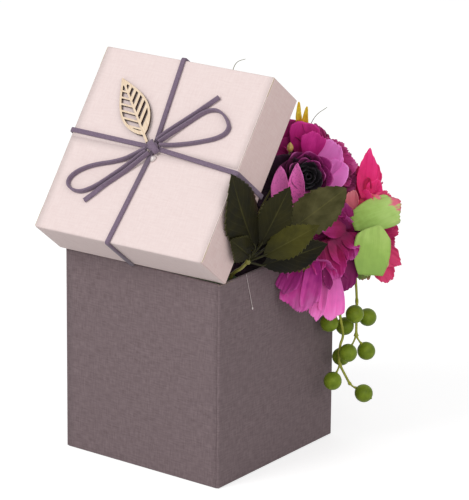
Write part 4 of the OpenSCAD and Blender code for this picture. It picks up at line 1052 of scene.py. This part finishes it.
# grass wisps, yellow straps and the bud
sprigs = {
    "wisps": [[(-60, -20, -58), (-60, -20, -20), (-60, 10, 50), (-62.6, 27, 98), (-62.7, 31, 113),
               (-61.6, 34.5, 118.9), (-57.1, 38, 121.2)],
              [(-40, 26, -58), (-40, 26, -20), (-34, 40, 30), (-20.7, 58.5, 64.8), (-15.1, 55.3, 78.6),
               (-6.9, 51, 88.4), (1.3, 51.2, 95)]],
    "blades": [[(-42, 14, -58), (-42, 14, -20), (-46, 30, 8), (-38, 42, 36), (-26.7, 49.7, 63.7),
                (-16.9, 44, 79.9), (-13.4, 39, 90.3), (-12.6, 38.1, 99.2)],
               [(-47, 28, -58), (-47, 28, -20), (-49, 40, 8), (-39, 49, 36), (-24, 54.5, 60.9),
                (-14.4, 47.4, 77.4), (-11.1, 43.6, 87.5), (-8.8, 42.1, 95.7)]],
    "bud": [(-30, 6, -58), (-30, 6, -20), (-26, 9, 20), (-16, 20, 50), (-12, 28, 67)],
    "wispRadii": (0.45, 0.16), "bladeHalf": 2.1, "bladeFold": 0.55, "bladeThick": 0.5, "wireRadius": 0.7,
    "budScale": (0.75, 0.75, 0.9),
    "budShape": [(0, -0.4), (1.6, 0), (2.7, 1.6), (3.0, 3.2), (2.4, 5), (1.1, 6.6), (0, 7.4)],
}


def makeSprigs():
    wisps = Heap()
    for route in sprigs["wisps"]:
        line = stemLine(route, 8)
        wisps.add(*sweepRound(line, np.linspace(*sprigs["wispRadii"], len(line)), 8))
    wisps.piece("grassWisps", grassPlastic, "box", "grass_plastic", ["grass_wisps"])
    straps = Heap()
    for route in sprigs["blades"]:      # folded a little along the middle, narrowing to the tip
        line = stemLine(route, 9)
        ahead = headings(line)
        wide = np.cross(ahead, [0.6, -0.7, 0.3])
        wide /= np.linalg.norm(wide, axis=1)[:, None]
        half = sprigs["bladeHalf"] * np.clip((1.02 - np.linspace(0, 1, len(line))) / 0.22, 0.06, 1) ** 0.7
        u = np.linspace(-1, 1, 7)
        points = [p + w * h * x + n * (sprigs["bladeFold"] * abs(x) * h / 2)
                  for p, w, n, h in zip(line, wide, np.cross(wide, ahead), half) for x in u]
        straps.add(points, gridFaces(len(line), len(u)))
    straps.piece("yellowStraps", yellowCloth, "box", "yellow_fabric", ["yellow_blades"],
                 thickness=sprigs["bladeThick"])
    route = sprigs["bud"]
    makePiece("budWire", *sweepRound(stemLine(route, 8), sprigs["wireRadius"], 8), grassPlastic, "box",
              "stem_plastic")
    bud, faces = turnedShape(sprigs["budShape"], 20)
    makePiece("flowerBud", onRim(np.array(route[-1]) + bud * sprigs["budScale"]), faces, budPlastic, "box",
              "stem_plastic", ["flower_bud"])


makeSprigs()
print("stems, berries and sprigs ready")

# CAD pieces that keep their shape
baseBoards = ["base_%s_board" % side for side in ("bottom", "front", "back", "left", "right")]
lidBoards = ["lid_%s_board" % side for side in ("top", "front", "back", "left", "right")]
kept = (
    (greyBoard, baseBoards + lidBoards),
    (gummedTape, ["base_corner_stays", "lid_corner_stays"]),
    (darkPaper, ["base_liner", "base_foot_sheet"]),
    (whitePaper, ["lid_liner"]),
    (floralFoam, ["foam_block"]),
    (bamboo, ["lid_picks"]),
    (hotGlue, ["pick_glue"]),
    (birch, ["wood_leaf"]),
)


def paintNode(node, material):
    if not node.material_slots:
        node.data.materials.append(material)
    for slot in node.material_slots:
        slot.material = material


for material, names in kept:
    for name in names:
        paintNode(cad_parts[name], material)
for name in lidBoards:      # so that the boards stay inside the rounded covering
    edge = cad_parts[name].modifiers.new("rounding", "BEVEL")
    edge.width, edge.segments = 0.55 * mm, 3
print("kept nodes painted")

# floor and light
studio = {"ambient": 0.48, "floor": "#d4d4d4", "floorGlow": 0.62,
          "lamps": (("keyLight", (-0.55, -1.5, 1.35), 0.9, 16.8), ("fillLight", (1.5, -0.8, 1.0), 1.4, 10.0))}


def directlySeen(tree):
    # 1 for rays that show the backdrop itself, seen straight, mirrored or through something clear
    rays = addNode(tree, "LightPath").outputs
    seen = addNode(tree, "Math", (rays["Is Camera Ray"], rays["Is Glossy Ray"]), operation="MAXIMUM")
    return addNode(tree, "Math", (seen, rays["Is Transmission Ray"]), operation="MAXIMUM")


def makeStudio():
    mesh = bpy.data.meshes.new("studioFloor")
    mesh.from_pydata([(-6, -6, 0), (6, -6, 0), (6, 6, 0), (-6, 6, 0)], [], [(0, 1, 2, 3)])
    floor = bpy.data.objects.new("studioFloor", mesh)
    bpy.context.scene.collection.objects.link(floor)
    material, tree = newMaterial("studioFloor", 0.9, 0.0)
    shader = tree.nodes["Principled BSDF"]
    shader.inputs["Base Color"].default_value = colour(studio["floor"])
    shader.inputs["Emission Color"].default_value = (1, 1, 1, 1)
    glow = addNode(tree, "Math", (directlySeen(tree), studio["floorGlow"]), operation="MULTIPLY")
    tree.links.new(glow.outputs[0], shader.inputs["Emission Strength"])
    mesh.materials.append(material)
    world = bpy.data.worlds.new("studio")
    bpy.context.scene.world = world
    world.use_nodes = True
    tree = world.node_tree
    sky = tree.nodes["Background"]
    sky.inputs["Color"].default_value = (1, 1, 1, 1)
    strength = addNode(tree, "MapRange", (directlySeen(tree), 0, 1, studio["ambient"], 1.0))
    tree.links.new(strength.outputs[0], sky.inputs["Strength"])
    for name, place, size, watts in studio["lamps"]:
        lamp = bpy.data.lights.new(name, "AREA")
        lamp.energy, lamp.size = watts, size
        holder = bpy.data.objects.new(name, lamp)
        bpy.context.scene.collection.objects.link(holder)
        holder.location = place
        holder.rotation_mode = "QUATERNION"
        holder.rotation_quaternion = (Vector((0, 0, 0.12)) - Vector(place)).to_track_quat("-Z", "Y")


makeStudio()
bpy.context.scene.view_settings.view_transform = "Standard"
print("studio ready")
